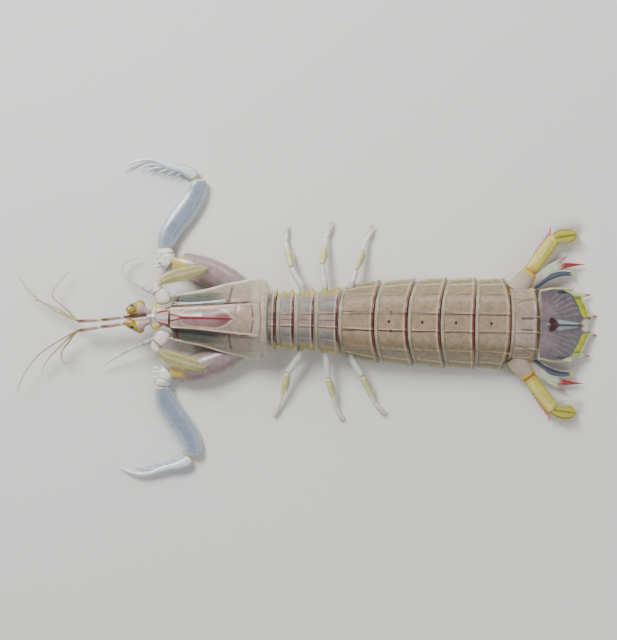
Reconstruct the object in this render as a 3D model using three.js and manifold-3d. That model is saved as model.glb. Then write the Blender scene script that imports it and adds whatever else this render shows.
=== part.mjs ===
// A spearing mantis shrimp of the family Squillidae, life size. It lies on its belly with its claws, legs and
// tail fan spread. Sizes are in millimetres. The head is towards -X, +Y is the animal's right side, +Z is up,
// and the floor is at z = 0.
import * as THREE from "three";
import { mergeVertices } from "three/addons/utils/BufferGeometryUtils.js";
import Module from "manifold-3d";

const wasm = await Module();
wasm.setup();

// Driving sizes
const GAP = 0.3; // clearance between pieces that touch
const POINT = 0.13; // radius that a sharp point ends in
const CARAPACE_FRONT = -43;
const CARAPACE_REAR = -12.3;
const THORAX_LENGTHS = [2.9, 5.8, 6.3, 7.6]; // somites 5 to 8, behind the carapace
const ABDOMEN_LENGTHS = [11.4, 10.6, 10.5, 11, 11.7, 8.6];
const TELSON_SLOPE = 27; // degrees that the tail plate hangs down
const BELLY = 5.2; // height of the abdomen's underside
const TRUNK_BELLY = 3.9; // height of the thorax's underside
const SIDES = [
  ["right", 1],
  ["left", -1],
];

const COLOURS = {
  shell: [0xb5aa98, 0.5],
  carapace: [0xb3a79a, 0.4],
  head: [0xcfc7a4, 0.5],
  eye: [0xa89a3c, 0.2],
  feeler: [0xc9bdb4, 0.5],
  claw: [0xc4ccd6, 0.35],
  arm: [0xbcb0a4, 0.45],
  leg: [0xd9dcb4, 0.5],
  swimmer: [0xc8c0a8, 0.6],
  telson: [0x9a9296, 0.4],
  fan: [0xd4cf60, 0.45],
};

const at = (x, y, z) => new THREE.Vector3(x, y, z);
const UP = at(0, 0, 1);

// A value along x, straight between its [x, value] stations.
function profile(stations) {
  return (x) => {
    const next = stations.findIndex(([station]) => station >= x);
    if (next === 0) return stations[0][1];
    if (next < 0) return stations[stations.length - 1][1];
    const [x0, v0] = stations[next - 1];
    const [x1, v1] = stations[next];
    return v0 + ((v1 - v0) * (x - x0)) / (x1 - x0);
  };
}

// A closed body through a row of loops. Every loop has the same even number of points, out along its upper path
// and back along its lower one, and each end closes with a strip between the two paths.
function loft(loops) {
  const count = loops[0].length;
  const faces = [];
  for (let row = 0; row < loops.length - 1; row += 1)
    for (let i = 0; i < count; i += 1) {
      const a = row * count + i;
      const b = row * count + ((i + 1) % count);
      faces.push(a, b, b + count, a, b + count, a + count);
    }
  const last = (loops.length - 1) * count;
  for (let i = 0; i < count / 2 - 1; i += 1) {
    const j = count - 1 - i;
    faces.push(i, j - 1, i + 1, i, j, j - 1);
    faces.push(last + i, last + i + 1, last + j - 1, last + i, last + j - 1, last + j);
  }
  const geometry = new THREE.BufferGeometry().setFromPoints(loops.flat());
  geometry.setIndex(faces);
  return solid(geometry);
}

// A closed geometry as a solid, turned right side out.
function solid(geometry) {
  const merged = mergeVertices(geometry, 1e-4);
  const build = (faces) =>
    new wasm.Manifold(
      new wasm.Mesh({
        numProp: 3,
        vertProperties: new Float32Array(merged.attributes.position.array),
        triVerts: new Uint32Array(faces),
      }),
    );
  const faces = Array.from(merged.index.array);
  const made = build(faces);
  return made.volume() < 0 ? build(faces.reverse()) : made;
}

function geometryOf(body) {
  const mesh = body.getMesh();
  const points = new Float32Array(mesh.numVert * 3);
  for (let i = 0; i < mesh.numVert; i += 1)
    points.set(mesh.vertProperties.subarray(i * mesh.numProp, i * mesh.numProp + 3), i * 3);
  const geometry = new THREE.BufferGeometry();
  geometry.setAttribute("position", new THREE.BufferAttribute(points, 3));
  geometry.setIndex(new THREE.BufferAttribute(new Uint32Array(mesh.triVerts), 1));
  return geometry;
}

const join = (...pieces) => pieces.flat().reduce((whole, piece) => whole.add(piece));

// The largest closed surface of a body, without scraps and sealed hollows.
function largest(body) {
  const parts = body.decompose();
  return parts.reduce((best, part) => (part.volume() > best.volume() ? part : best));
}

// A body swollen by the gap, so that cutting with it leaves that clearance.
function swollen(body) {
  const geometry = geometryOf(body);
  geometry.computeVertexNormals();
  const { position, normal } = geometry.attributes;
  for (let i = 0; i < position.count; i += 1)
    position.setXYZ(
      i,
      position.getX(i) + GAP * normal.getX(i),
      position.getY(i) + GAP * normal.getY(i),
      position.getZ(i) + GAP * normal.getZ(i),
    );
  return solid(geometry);
}

const mirrored = (body, side) => (side > 0 ? body : body.mirror([0, 1, 0]));

// A round or flattened limb through points. Each size is a half width across the limb and a half height.
function limb(points, sizes, { sides = 8, steps = points.length - 1, up = UP } = {}) {
  const curve = new THREE.CatmullRomCurve3(points, false, "centripetal");
  const loops = [];
  for (let step = 0; step <= steps; step += 1) {
    const t = step / steps;
    const centre = curve.getPoint(t);
    const along = curve.getTangent(t);
    const across = new THREE.Vector3().crossVectors(up, along).normalize();
    const rise = new THREE.Vector3().crossVectors(along, across);
    const place = t * (sizes.length - 1);
    const from = Math.min(Math.floor(place), sizes.length - 2);
    const [width, height] = sizes[from].map((v, k) => v + (sizes[from + 1][k] - v) * (place - from));
    const loop = [];
    for (let i = 0; i < sides; i += 1) {
      const angle = ((i + 0.5) / sides) * 2 * Math.PI;
      loop.push(
        centre
          .clone()
          .addScaledVector(across, width * Math.cos(angle))
          .addScaledVector(rise, height * Math.sin(angle)),
      );
    }
    loops.push(loop);
  }
  return loft(loops);
}

// A tapered spine that bows by a sideways vector on its way from root to tip.
function spine(root, tip, radius, { bow = at(0, 0, 0), sides = 4, flat = 1, up = UP } = {}) {
  const points = [0, 0.5, 1].map((t) =>
    root
      .clone()
      .lerp(tip, t)
      .addScaledVector(bow, 4 * t * (1 - t)),
  );
  const sizes = [1, 0.72, 0].map((k) => [
    Math.max(radius * k, POINT),
    Math.max(radius * k * flat, POINT),
  ]);
  return limb(points, sizes, { sides, up });
}

const nodes = new Map();
const keep = (name, body, colour) => nodes.set(name, { body, colour });
const body = (name) => nodes.get(name).body;

// Cuts a node clear of others that it meets, by the gap.
function cutClear(name, ...others) {
  const node = nodes.get(name);
  node.body = largest(others.reduce((rest, other) => rest.subtract(swollen(body(other))), node.body));
}

// Trunk: the free thoracic somites and the abdomen
const topOf = profile([
  [-12.3, 16.2],
  [10, 15.9],
  [30, 15.6],
  [54, 14.8],
  [65.5, 13.6],
  [74.1, 12],
]);
const halfWidthOf = profile([
  [-12.3, 8.5],
  [-3, 8.9],
  [10, 10.4],
  [11, 11.4],
  [21.7, 13.2],
  [42.8, 14.4],
  [65.5, 14.7],
  [66, 13.1],
  [74.1, 12.4],
]);
const sweepOf = profile([
  [-12.3, 0.8],
  [10.3, 2.2],
  [21.7, 3],
  [32.3, 3.2],
  [42.8, 2.7],
  [53.8, 1.2],
  [65.5, -1.2],
  [74.1, -0.6],
]);
const SWEEP_WIDTH = 14; // the half width at which a margin is swept back by its full amount
const swept = (x, y) => x + sweepOf(x) * (Math.abs(y) / SWEEP_WIDTH) ** 2.5;

const RIDGE_HALF = 0.03; // half width of a carina, as a share of the half width
const ABDOMEN_RIDGES = [0.2, 0.64, 0.86];
const THORAX_RIDGES = [0.22, 0.66];
const RIDGE_HEIGHT = 0.5;

// The places across a plate, from left to right, as [share of the half width, is a ridge].
function columns(ridges, extra) {
  const half = [[0, false], ...extra.map((share) => [share, false])];
  for (const ridge of ridges)
    half.push([ridge - RIDGE_HALF, false], [ridge, true], [ridge + RIDGE_HALF, false]);
  half.push([1, false]);
  half.sort((a, b) => a[0] - b[0]);
  const left = half.slice(1).map(([share, ridge]) => [-share, ridge]);
  return [...left.reverse(), ...half];
}

// One loop across a somite. The abdomen's side plates hang down round a raised belly, and the thorax is a
// rounded bar.
function somiteLoop(x, { drop, belly, ridges, extra, lower, narrow, ridged, hanging }) {
  const half = halfWidthOf(x) * narrow;
  const top = topOf(x) - lower;
  const upper = [];
  const under = [];
  for (const [share, ridge] of columns(ridges, extra)) {
    const y = share * half;
    const across = Math.abs(share);
    const arch = top - drop * across ** 3.4;
    const floor = hanging
      ? across < 0.75
        ? belly
        : arch - 2.1
      : belly + (top - drop - belly - 0.8) * across ** 4;
    upper.push(at(swept(x, y), y, arch + (ridge && ridged ? RIDGE_HEIGHT : 0)));
    under.push(at(swept(x, y), y, floor));
  }
  return [...upper, ...under.reverse()];
}

// A somite has a low band in front, where it slides under the one before it, and then a step up to its
// ridged plate.
function somite(from, to, shape) {
  const start = from + GAP / 2;
  const end = to - GAP / 2;
  const band = start + Math.min(1.1, (end - start) * 0.2);
  const low = { lower: 0.45, narrow: 0.955, ridged: false };
  return loft([
    somiteLoop(start, { ...shape, ...low }),
    somiteLoop(band, { ...shape, ...low }),
    somiteLoop(band + 0.3, { ...shape, lower: 0, narrow: 0.975, ridged: true }),
    somiteLoop(end, { ...shape, lower: 0, narrow: 1.015, ridged: true }),
  ]);
}

const THORAX_SHAPE = {
  drop: 7.4,
  belly: TRUNK_BELLY,
  ridges: THORAX_RIDGES,
  extra: [0.45, 0.84],
  hanging: false,
};
const ABDOMEN_SHAPE = {
  drop: 12.2,
  belly: BELLY,
  ridges: ABDOMEN_RIDGES,
  extra: [0.73, 0.77],
  hanging: true,
};

const stations = [CARAPACE_REAR];
for (const length of [...THORAX_LENGTHS, ...ABDOMEN_LENGTHS])
  stations.push(stations[stations.length - 1] + length);
const TELSON_ROOT = stations[stations.length - 1];

// The side lobes of a free thoracic somite, two on each side.
function sideLobes(from, to) {
  const middle = (from + to) / 2;
  const out = halfWidthOf(middle);
  const lobe = (x, reach) => [1, -1].map((side) => {
    const root = at(swept(x, out) - 0.8, side * (out - 2.6), 9);
    return spine(root, at(swept(x, out) + 0.9, side * (out + reach), 7.6), 1.2, { flat: 0.6 });
  });
  return [...lobe(from + (to - from) * 0.3, 0.9), ...lobe(from + (to - from) * 0.72, 1.5)];
}

function makeThorax() {
  THORAX_LENGTHS.forEach((length, i) => {
    const [from, to] = [stations[i], stations[i + 1]];
    const bar = somite(from, to, THORAX_SHAPE);
    const lobes = i === 0 ? sideLobes(from, to).slice(2) : sideLobes(from, to);
    keep(`thorax_${i + 5}`, join(bar, lobes), "shell");
  });
}

function makeAbdomen() {
  ABDOMEN_LENGTHS.forEach((length, i) => {
    const first = THORAX_LENGTHS.length + i;
    const [from, to] = [stations[first], stations[first + 1]];
    const last = i === ABDOMEN_LENGTHS.length - 1;
    const shape = last ? { ...ABDOMEN_SHAPE, drop: 7.6, hanging: false } : ABDOMEN_SHAPE;
    const pieces = [somite(from, to, shape)];
    if (i >= 4) pieces.push(...hindSpines(to, shape, last ? [0.2, 0.64, 0.9] : [0.64, 0.97]));
    keep(`abdomen_${i + 1}`, join(pieces), "shell");
  });
}

// Short spines on the hind margin, one at the end of each carina that has one.
function hindSpines(x, { drop }, shares) {
  return shares.flatMap((share) =>
    [1, -1].map((side) => {
      const y = side * share * halfWidthOf(x - 1);
      const z = topOf(x) - drop * share ** 3.4;
      const reach = swept(x, y) - GAP;
      return spine(at(reach - 2, y, z + 0.3), at(reach + 1.3, y, z + 0.55), 0.45);
    }),
  );
}

// Tail plate, drawn level and then tilted down about its hinge
const TELSON_WIDTH = 12; // half width
const TELSON_COLUMNS = [0, 0.04, 0.18, 0.3, 0.5, 0.72, 0.84, 0.93, 1];
const marginOf = profile([
  [0, 18.2],
  [0.18, 19.6],
  [0.3, 18.8],
  [0.72, 16],
  [0.84, 14.9],
  [0.93, 12.3],
  [1, 11.9],
]);
// Tooth roots, tips and root radii: submedian, intermediate and lateral
const TELSON_TEETH = [
  [at(16.8, 2.9, 0.1), at(22.3, 3.1, 0.5), 1.3],
  [at(12.2, 9.5, 0), at(19.8, 10, 0.4), 1.3],
  [at(8.9, 10.9, 0), at(13, 11.7, 0.2), 0.8],
];

function telsonLoop(t) {
  const half = TELSON_WIDTH * (0.92 + 0.08 * Math.min(1, t * 3));
  const shares = [...TELSON_COLUMNS.slice(1).map((v) => -v).reverse(), ...TELSON_COLUMNS];
  const upper = [];
  const under = [];
  for (const share of shares) {
    const across = Math.abs(share);
    const x = t * marginOf(across);
    const dome = (1.5 - 0.8 * t) * (1 - across ** 2.2);
    const ridge = across === 0 && t > 0.05 ? 0.9 : 0;
    const rim = across === 0.93 || (across === 0.3 && t > 0.8) ? 0.4 : 0;
    upper.push(at(x, share * half, 0.55 + dome + ridge + rim));
    under.push(at(x, share * half, -0.45 - dome * 0.6));
  }
  return [...upper, ...under.reverse()];
}

const TELSON_HINGE = at(TELSON_ROOT + GAP + 0.5, 0, 9.9);

function makeTelson() {
  const plate = loft([0, 0.05, 0.35, 0.75, 1].map(telsonLoop));
  const teeth = TELSON_TEETH.flatMap(([root, tip, radius]) =>
    [1, -1].map((side) => mirrored(spine(root, tip, radius, { flat: 0.62 }), side)),
  );
  const level = join(plate, teeth);
  const hinge = TELSON_HINGE.toArray();
  keep("telson", level.rotate([0, TELSON_SLOPE, 0]).translate(hinge), "telson");
  cutClear("telson", "abdomen_6");
}

// Carapace: a shell whose sides reach lowest at its rounded hind corners
const carapaceTop = profile([
  [-43, 14.9],
  [-38, 16.5],
  [-32, 17.8],
  [-20, 18],
  [-12.3, 17.2],
]);
const carapaceHalf = profile([
  [-43, 7.2],
  [-38, 8],
  [-32, 9.2],
  [-26, 10.9],
  [-20, 12.3],
  [-15.5, 13.2],
  [-12.3, 12.4],
]);
const carapaceEdge = profile([
  [-43, 10.6],
  [-38, 9.4],
  [-27, 9],
  [-20, 6.6],
  [-15.5, 5.4],
  [-12.3, 7],
]);
const carapaceRound = profile([
  [-43, 1.6],
  [-30, 1.8],
  [-18, 2.6],
  [-12.3, 2.7],
]);
const CARAPACE_THICK = 0.9;
const CARAPACE_STATIONS = [-43, -42.1, -37.9, -29, -23, -17, -15, -13.3, -12.3];
const LATERAL_CARINA = 4.4; // distance of the lateral carinae from the middle
const CARAPACE_COLUMNS = [0, 0.05, 0.25, 0.65, 0.86, 1];

const carapaceZ = (x, share) =>
  carapaceTop(x) - (carapaceTop(x) - carapaceEdge(x)) * Math.abs(share) ** carapaceRound(x);

// The carapace's outline across it, moved inwards by a depth along its own normal.
function carapacePath(x, depth, limit = 1) {
  const half = carapaceHalf(x);
  const carina = LATERAL_CARINA / half;
  const ridged = x > CARAPACE_FRONT && x < -15;
  const shares = [...CARAPACE_COLUMNS, carina - 0.03, carina, carina + 0.03]
    .filter((share) => share <= limit)
    .sort((a, b) => a - b);
  return [...shares.slice(1).map((v) => -v).reverse(), ...shares].map((share) => {
    const step = 0.01;
    const slope = (carapaceZ(x, share + step) - carapaceZ(x, share - step)) / (2 * step * half);
    const length = Math.hypot(1, slope);
    const on = (ridged && Math.abs(share) === carina) || (share === 0 && x > -38 && x < -17);
    const out = (on && depth === 0 ? RIDGE_HEIGHT : 0) - depth;
    return at(x, share * half - (slope / length) * out, carapaceZ(x, share) + out / length);
  });
}

// The front margin is hollowed round the rostral plate and the hind margin is hollowed over the thorax.
function carapaceLoop(x) {
  const shift = (point) => {
    const across = Math.abs(point.y) / carapaceHalf(x);
    if (x < -41) point.x += 0.9 * across ** 4;
    if (x > -16) point.x += 0.7 * across ** 2 - (across > 0.9 ? (across - 0.9) * 12 : 0);
    return point;
  };
  const outer = carapacePath(x, 0).map(shift);
  const inner = carapacePath(x, CARAPACE_THICK).map(shift);
  return [...outer, ...inner.reverse()];
}

function makeCarapace() {
  keep("carapace", loft(CARAPACE_STATIONS.map(carapaceLoop)), "carapace");
}

// The soft body under the carapace, from the mouth to the first free somite
const coreHalf = profile([
  [-46, 2.4],
  [-43, 3.6],
  [-36, 6.6],
  [-26, 7.6],
  [-12.6, 8.3],
]);
const coreBelly = profile([
  [-46, 7.6],
  [-43, 5.4],
  [-38, 4.2],
  [-28, 3.9],
  [-12.6, 3.9],
]);

function coreLoop(x) {
  const half = coreHalf(x);
  const shares = [-1, -0.75, 0, 0.75, 1];
  const reach = Math.max(x, CARAPACE_FRONT);
  const roof = (y) =>
    Math.min(
      carapaceZ(reach, y / carapaceHalf(reach)) - CARAPACE_THICK - 2.4 * GAP,
      x > -14 ? 15.6 : 99,
    ) - (x < CARAPACE_FRONT ? 1.4 : 0);
  const upper = shares.map((share) => {
    const low = Math.min(roof(share * half), 13 + 4 * (1 - Math.abs(share)));
    return at(x, share * half, Math.abs(share) === 1 ? Math.min(low, 10.5) - 1 : low);
  });
  const under = shares.map((share) => at(x, share * half, coreBelly(x) + 2.6 * share ** 4));
  return [...upper, ...under.reverse()];
}

function makeCephalothorax() {
  const end = CARAPACE_REAR - GAP / 2;
  const core = loft([-46, -43, -40, -34, -28, -22, -16, end].map(coreLoop));
  const lip = limb(
    [at(-43.5, 0, 5.6), at(-41, 0, 3.9), at(-37.5, 0, 3.9), at(-35.5, 0, 5)],
    [
      [1, 0.8],
      [2, 1.6],
      [2.2, 1.6],
      [1.2, 0.8],
    ],
  );
  keep("cephalothorax", join(core, lip), "arm");
  cutClear("cephalothorax", "carapace");
}

// Head: the plate that carries eyes and antennules, with its two pointed wings, and the rostral plate over it
const headHalf = profile([
  [-50.6, 1.9],
  [-48.6, 2.5],
  [-48.1, 4.3],
  [-46.6, 3.7],
  [-45.2, 2.7],
  [-43.6, 2.2],
]);

function headLoop(x) {
  const half = headHalf(x);
  const rise = (x + 50.6) / 7;
  const top = 12 + 1.1 * rise;
  const shares = [-1, -0.5, 0, 0.5, 1];
  const upper = shares.map((share) => at(x, share * half, top - 1.1 * share ** 2));
  const under = shares.map((share) => at(x, share * half, 9.4 - 0.6 * rise + 1.2 * share ** 2));
  return [...upper, ...under.reverse()];
}

function rostralLoop(x, half) {
  const shares = [-1, -0.82, 0, 0.82, 1];
  const top = 14 + ((x + 47.8) / 4.6) * 0.8;
  const upper = shares.map((share) =>
    at(x, share * half, top + (Math.abs(share) === 0.82 ? 0.25 : 0) - 0.3 * share ** 2),
  );
  const under = shares.map((share) => at(x, share * half, top - 0.75 - 0.3 * share ** 2));
  return [...upper, ...under.reverse()];
}

function makeHead() {
  keep("head_plate", loft([-50.6, -48.6, -48.1, -46.6, -45.2, -43.6].map(headLoop)), "head");
  cutClear("head_plate", "cephalothorax", "carapace");
  const rostral = [
    [-47.8, 0.9],
    [-47.2, 1.6],
    [-45.5, 2.1],
    [-43.5, 2.5],
  ];
  keep("rostral_plate", loft(rostral.map(([x, half]) => rostralLoop(x, half))), "carapace");
  cutClear("rostral_plate", "carapace", "head_plate", "cephalothorax");
}

// Eyes: a flared stalk with a two-lobed cornea set askew across its end
const CORNEA_CENTRE = at(-54.4, 3, 11.2);
const CORNEA_AXIS = at(-2.2, -1.25, 1.75); // half of its long axis

function eye() {
  const along = CORNEA_AXIS.clone();
  const end = (k) => CORNEA_CENTRE.clone().addScaledVector(along, k);
  const lobes = [0.35, 1.15, 1.55, 1.42, 1.58, 1.42, 1.1, 0.3].map((r) => [r, r]);
  const places = [-1.25, -1.05, -0.65, -0.02, 0.02, 0.6, 1.02, 1.22];
  const cornea = limb(places.map(end), lobes, { sides: 8 });
  const stalk = limb(
    [at(-49.6, 1.4, 11.2), at(-51.2, 2, 11.2), at(-52.6, 2.5, 11.2), at(-53.8, 2.85, 11.2)],
    [
      [0.8, 1],
      [1.15, 1.25],
      [1.9, 1.55],
      [2, 1.5],
    ],
    { sides: 8 },
  );
  return join(cornea, stalk);
}

function makeEyes() {
  for (const [name, side] of SIDES) {
    keep(`eye_${name}`, mirrored(eye(), side), "eye");
    cutClear(`eye_${name}`, "head_plate");
  }
}

// Antennules: a stalk of three joints that carries three whips
const FEELER = 0.32; // half thickness of a whip, which its tip keeps most of
const ANTENNULES = {
  right: {
    stalk: [at(-49, 0.95, 9.6), at(-58.2, -0.1, 9.1), at(-65.5, -1.2, 8.4), at(-73.2, -1.7, 7.6)],
    whips: [
      [at(-78, 0.2, 7.4), at(-85.6, 4.6, 7), at(-90.3, 9, 6.4), at(-92.9, 13, 5.8)],
      [at(-76.5, 1.6, 6.8), at(-81.8, 6.4, 5.8), at(-80.8, 9, 5.2), at(-76.5, 14.2, 4.4)],
      [at(-77, 0.4, 6.4), at(-82, 3, 5.2), at(-86, 4.4, 4.2), at(-89, 4.8, 3.4)],
    ],
  },
  left: {
    stalk: [at(-49, -0.95, 9.6), at(-58.2, -2.3, 9.1), at(-65.5, -3.4, 8.4), at(-73.2, -4.8, 7.6)],
    whips: [
      [at(-78, -7.6, 7.4), at(-85.6, -13, 7), at(-90.3, -19.5, 6.2), at(-92.7, -25.5, 5.4)],
      [at(-76.5, -7.8, 6.8), at(-80.5, -11.8, 5.8), at(-83, -14.6, 5), at(-84.8, -18.2, 4.2)],
      [at(-75.6, -8, 6.4), at(-78.4, -12.2, 5.2), at(-77.6, -15.4, 4.4), at(-73.4, -14.6, 3.8)],
    ],
  },
};
// Stations along one joint of the stalk as [share of the joint, half thickness]
const STALK_JOINT = [
  [0.02, 0.66],
  [0.85, 0.9],
  [0.98, 0.7],
];

function antennule({ stalk, whips }) {
  const points = [];
  const sizes = [];
  for (let joint = 0; joint < 3; joint += 1)
    for (const [share, half] of STALK_JOINT) {
      points.push(stalk[joint].clone().lerp(stalk[joint + 1], share));
      sizes.push([half * (joint ? 1 : 1.15), half * (joint ? 0.9 : 1)]);
    }
  const tip = stalk[3];
  const root = tip.clone().lerp(stalk[2], 0.08);
  const lashes = whips.map((points4) =>
    limb(
      [root, tip.clone().lerp(points4[0], 0.25), ...points4],
      [
        [0.42, 0.42],
        [FEELER, FEELER],
        [FEELER * 0.85, FEELER * 0.85],
      ],
      { sides: 4, steps: 7 },
    ),
  );
  return join(limb(points, sizes, { sides: 6 }), lashes);
}

function makeAntennules() {
  for (const [name] of SIDES) {
    keep(`antennule_${name}`, antennule(ANTENNULES[name]), "feeler");
    cutClear(`antennule_${name}`, "head_plate", `eye_${name}`);
  }
}

// Antennae: a broad base beside the mouth, a whip on a short stalk, and a long scale folded back over the claw arm
const ANTENNA_WHIPS = {
  right: [
    at(-46.2, 6.2, 8.6),
    at(-50.6, 8.6, 8),
    at(-56, 11.2, 6.4),
    at(-59.6, 14.6, 4.6),
    at(-58.4, 17.6, 3.4),
    at(-54, 19.2, 2.6),
  ],
  left: [
    at(-46.2, -6.2, 8.6),
    at(-50.6, -7.9, 8),
    at(-55.5, -10.3, 6.4),
    at(-60.4, -13, 4.6),
    at(-63.4, -15, 3.4),
    at(-65.8, -16.6, 2.6),
  ],
};

function antennaBase() {
  return limb(
    [
      at(-44.8, 4.1, 9.4),
      at(-45.3, 5.6, 9.6),
      at(-46.5, 7.4, 9.7),
      at(-47.9, 9.5, 9.8),
      at(-46.6, 11.4, 10),
    ],
    [
      [2, 1.4],
      [2.7, 1.8],
      [2.4, 1.6],
      [1.4, 1.1],
      [1.1, 0.8],
    ],
    { steps: 5 },
  );
}

function antennaWhip(points) {
  return limb(
    points,
    [
      [0.65, 0.65],
      [0.5, 0.5],
      [0.32, 0.32],
      [0.28, 0.28],
      [0.26, 0.26],
    ],
    { sides: 5, steps: 9 },
  );
}

function antennalScale() {
  return limb(
    [
      at(-46.9, 11, 10.1),
      at(-44, 12.6, 10.2),
      at(-40, 13.8, 10),
      at(-35.6, 15, 9.8),
      at(-31.4, 15.9, 9.5),
    ],
    [
      [0.9, 0.4],
      [1.7, 0.42],
      [2, 0.42],
      [1.7, 0.4],
      [0.4, 0.3],
    ],
    { steps: 6 },
  );
}

function makeAntennae() {
  for (const [name, side] of SIDES) {
    keep(`antenna_base_${name}`, mirrored(antennaBase(), side), "head");
    cutClear(`antenna_base_${name}`, "cephalothorax", "carapace", "head_plate");
    keep(`antenna_${name}`, antennaWhip(ANTENNA_WHIPS[name]), "feeler");
    cutClear(`antenna_${name}`, `antenna_base_${name}`);
    keep(`antennal_scale_${name}`, mirrored(antennalScale(), side), "fan");
    cutClear(`antennal_scale_${name}`, `antenna_base_${name}`, `arm_${name}`);
  }
}

// Claws: the arm, wrist, hand and toothed finger, opened out flat on the floor
const ARM = [
  [at(-17.2, 7.4, 6.2), 2.4, 2.4],
  [at(-21, 9.8, 5), 3.6, 3.4],
  [at(-26, 12.4, 4.2), 4.5, 4.2],
  [at(-31, 14.6, 4.1), 4.6, 4.2],
  [at(-36, 16.5, 3.9), 4.1, 4],
  [at(-40.4, 17.5, 3.5), 3.4, 3.4],
  [at(-43.7, 17.6, 3.4), 2.6, 2.4],
];
const HAND = [
  [at(-46.1, 22, 3), 2.5, 1.7],
  [at(-45.9, 24, 2.9), 3.1, 1.9],
  [at(-45.2, 26.8, 2.6), 3.6, 2.1],
  [at(-43.2, 30.2, 2.4), 3.8, 2.2],
  [at(-40.9, 33.4, 2.2), 4, 2.2],
  [at(-38.6, 36.6, 2.1), 3.9, 2.1],
  [at(-36.7, 40, 2.1), 3.6, 2],
  [at(-35.9, 43, 2.2), 3.2, 1.9],
  [at(-36.2, 45, 2.3), 2.2, 1.5],
];
const FINGER = [
  [at(-36.5, 45.4, 2.3), 1.5, 1.3],
  [at(-38, 46.8, 2.3), 2, 1.4],
  [at(-40.4, 47.9, 2.3), 1.7, 1.3],
  [at(-43, 48.4, 2.3), 1.3, 1.2],
  [at(-46, 49.3, 2.3), 1.1, 1.1],
  [at(-49.6, 50.6, 2.3), 0.75, 0.95],
  [at(-53.4, 50.9, 2.2), 0.65, 0.8],
  [at(-57.2, 49.8, 2.1), 0.45, 0.55],
  [at(-60.9, 47.9, 2), POINT, POINT],
];
// The finger's side teeth, from the longest: root, how far the curve bows out at its middle, and tip
const TEETH = [
  [at(-46, 49, 2.3), 0.9, at(-55.8, 47.8, 2.2), 0.8],
  [at(-44.4, 48.5, 2.3), 0.8, at(-52.7, 47, 2.2), 0.75],
  [at(-43, 48, 2.3), 0.6, at(-49.5, 46.3, 2.2), 0.65],
  [at(-41.4, 47.6, 2.3), 0.45, at(-46.4, 45.7, 2.2), 0.6],
  [at(-40, 47, 2.3), 0.3, at(-43.7, 45, 2.2), 0.5],
];

const shaped = (rows, options) =>
  limb(
    rows.map(([point]) => point),
    rows.map(([, width, height]) => [width, height]),
    options,
  );

function arm() {
  const whole = shaped(ARM, { sides: 10, steps: 7 });
  const hollow = [
    [2.5, 2.5],
    [2.5, 2.5],
  ];
  const notch = limb([at(-41.6, 21.8, -2), at(-41.6, 21.8, 12)], hollow, { sides: 10, up: at(1, 0, 0) });
  const corner = spine(at(-36.6, 19.8, 3.4), at(-39.8, 21, 3.2), 0.9);
  return join(whole.subtract(notch), corner);
}

function wrist() {
  const block = limb(
    [at(-43.6, 17.2, 3.3), at(-45, 18.4, 3.4), at(-45.8, 20.2, 3.2), at(-46.1, 22.4, 3)],
    [
      [2.3, 2.1],
      [2.9, 2.5],
      [3, 2.4],
      [2.4, 1.8],
    ],
    { sides: 10 },
  );
  const teeth = [
    [17.4, 16.7],
    [19.2, 18.8],
  ].map(([root, tip]) => spine(at(-46.6, root, 4.2), at(-49.4, tip, 4.5), 0.75));
  return join(block, teeth);
}

// Upright movable spines near the base of the hand's comb edge.
function hand() {
  const whole = shaped(HAND, { sides: 10, steps: 8 });
  const spines = [
    [at(-47.2, 26, 2.7), at(-49.9, 27.6, 2.9)],
    [at(-46.2, 29, 2.5), at(-48.6, 30.8, 2.7)],
    [at(-44.6, 31.8, 2.4), at(-46.8, 33.6, 2.6)],
  ].map(([root, tip]) => spine(root, tip, 0.55));
  return join(whole, spines);
}

function finger() {
  const blade = shaped(FINGER, { sides: 6, steps: 10 });
  const teeth = TEETH.map(([root, bow, tip, radius]) =>
    spine(root, tip, radius, { bow: at(0, bow, 0), flat: 0.9 }),
  );
  return join(blade, teeth);
}

function makeClaws() {
  for (const [name, side] of SIDES) {
    keep(`arm_${name}`, mirrored(arm(), side), "arm");
    cutClear(`arm_${name}`, "carapace", "cephalothorax");
    keep(`wrist_${name}`, mirrored(wrist(), side), "claw");
    cutClear(`wrist_${name}`, `arm_${name}`);
    keep(`hand_${name}`, mirrored(hand(), side), "claw");
    cutClear(`hand_${name}`, `wrist_${name}`);
    keep(`finger_${name}`, mirrored(finger(), side), "claw");
    cutClear(`finger_${name}`, `hand_${name}`);
  }
}

// Maxillipeds: three short grasping limbs on each side of the mouth, folded under the head
const MAXILLIPEDS = [
  { root: at(-31, 4.2, 2.6), elbow: at(-36.5, 7, 2.4), palm: at(-40.6, 5, 2) },
  { root: at(-27, 4.2, 2.5), elbow: at(-31.4, 6.8, 2.2), palm: at(-35.4, 4.8, 1.5) },
  { root: at(-23, 4.2, 2.5), elbow: at(-26.4, 6.4, 2.2), palm: at(-30, 4.3, 1.2) },
];

function maxilliped({ root, elbow, palm }) {
  const upper = spine(root, elbow, 1.1);
  const toPalm = palm.clone().sub(elbow).setLength(2);
  const beyond = palm.clone().add(toPalm);
  const lower = limb(
    [elbow, elbow.clone().lerp(palm, 0.6), palm, beyond],
    [
      [0.7, 0.7],
      [1.2, 0.6],
      [1.7, 0.6],
      [0.6, 0.4],
    ],
    { sides: 5, steps: 3 },
  );
  return join(upper, lower);
}

function makeMaxillipeds() {
  const hip = limb(
    [at(-33, 3.6, 2.6), at(-27, 3.8, 2.5), at(-21, 3.6, 2.6)],
    [
      [1.2, 0.8],
      [1.3, 0.9],
      [1.2, 0.8],
    ],
    { sides: 6 },
  );
  for (const [name, side] of SIDES) {
    keep(`maxillipeds_${name}`, mirrored(join(hip, MAXILLIPEDS.map(maxilliped)), side), "swimmer");
    cutClear(`maxillipeds_${name}`, `arm_${name}`);
  }
}

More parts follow.
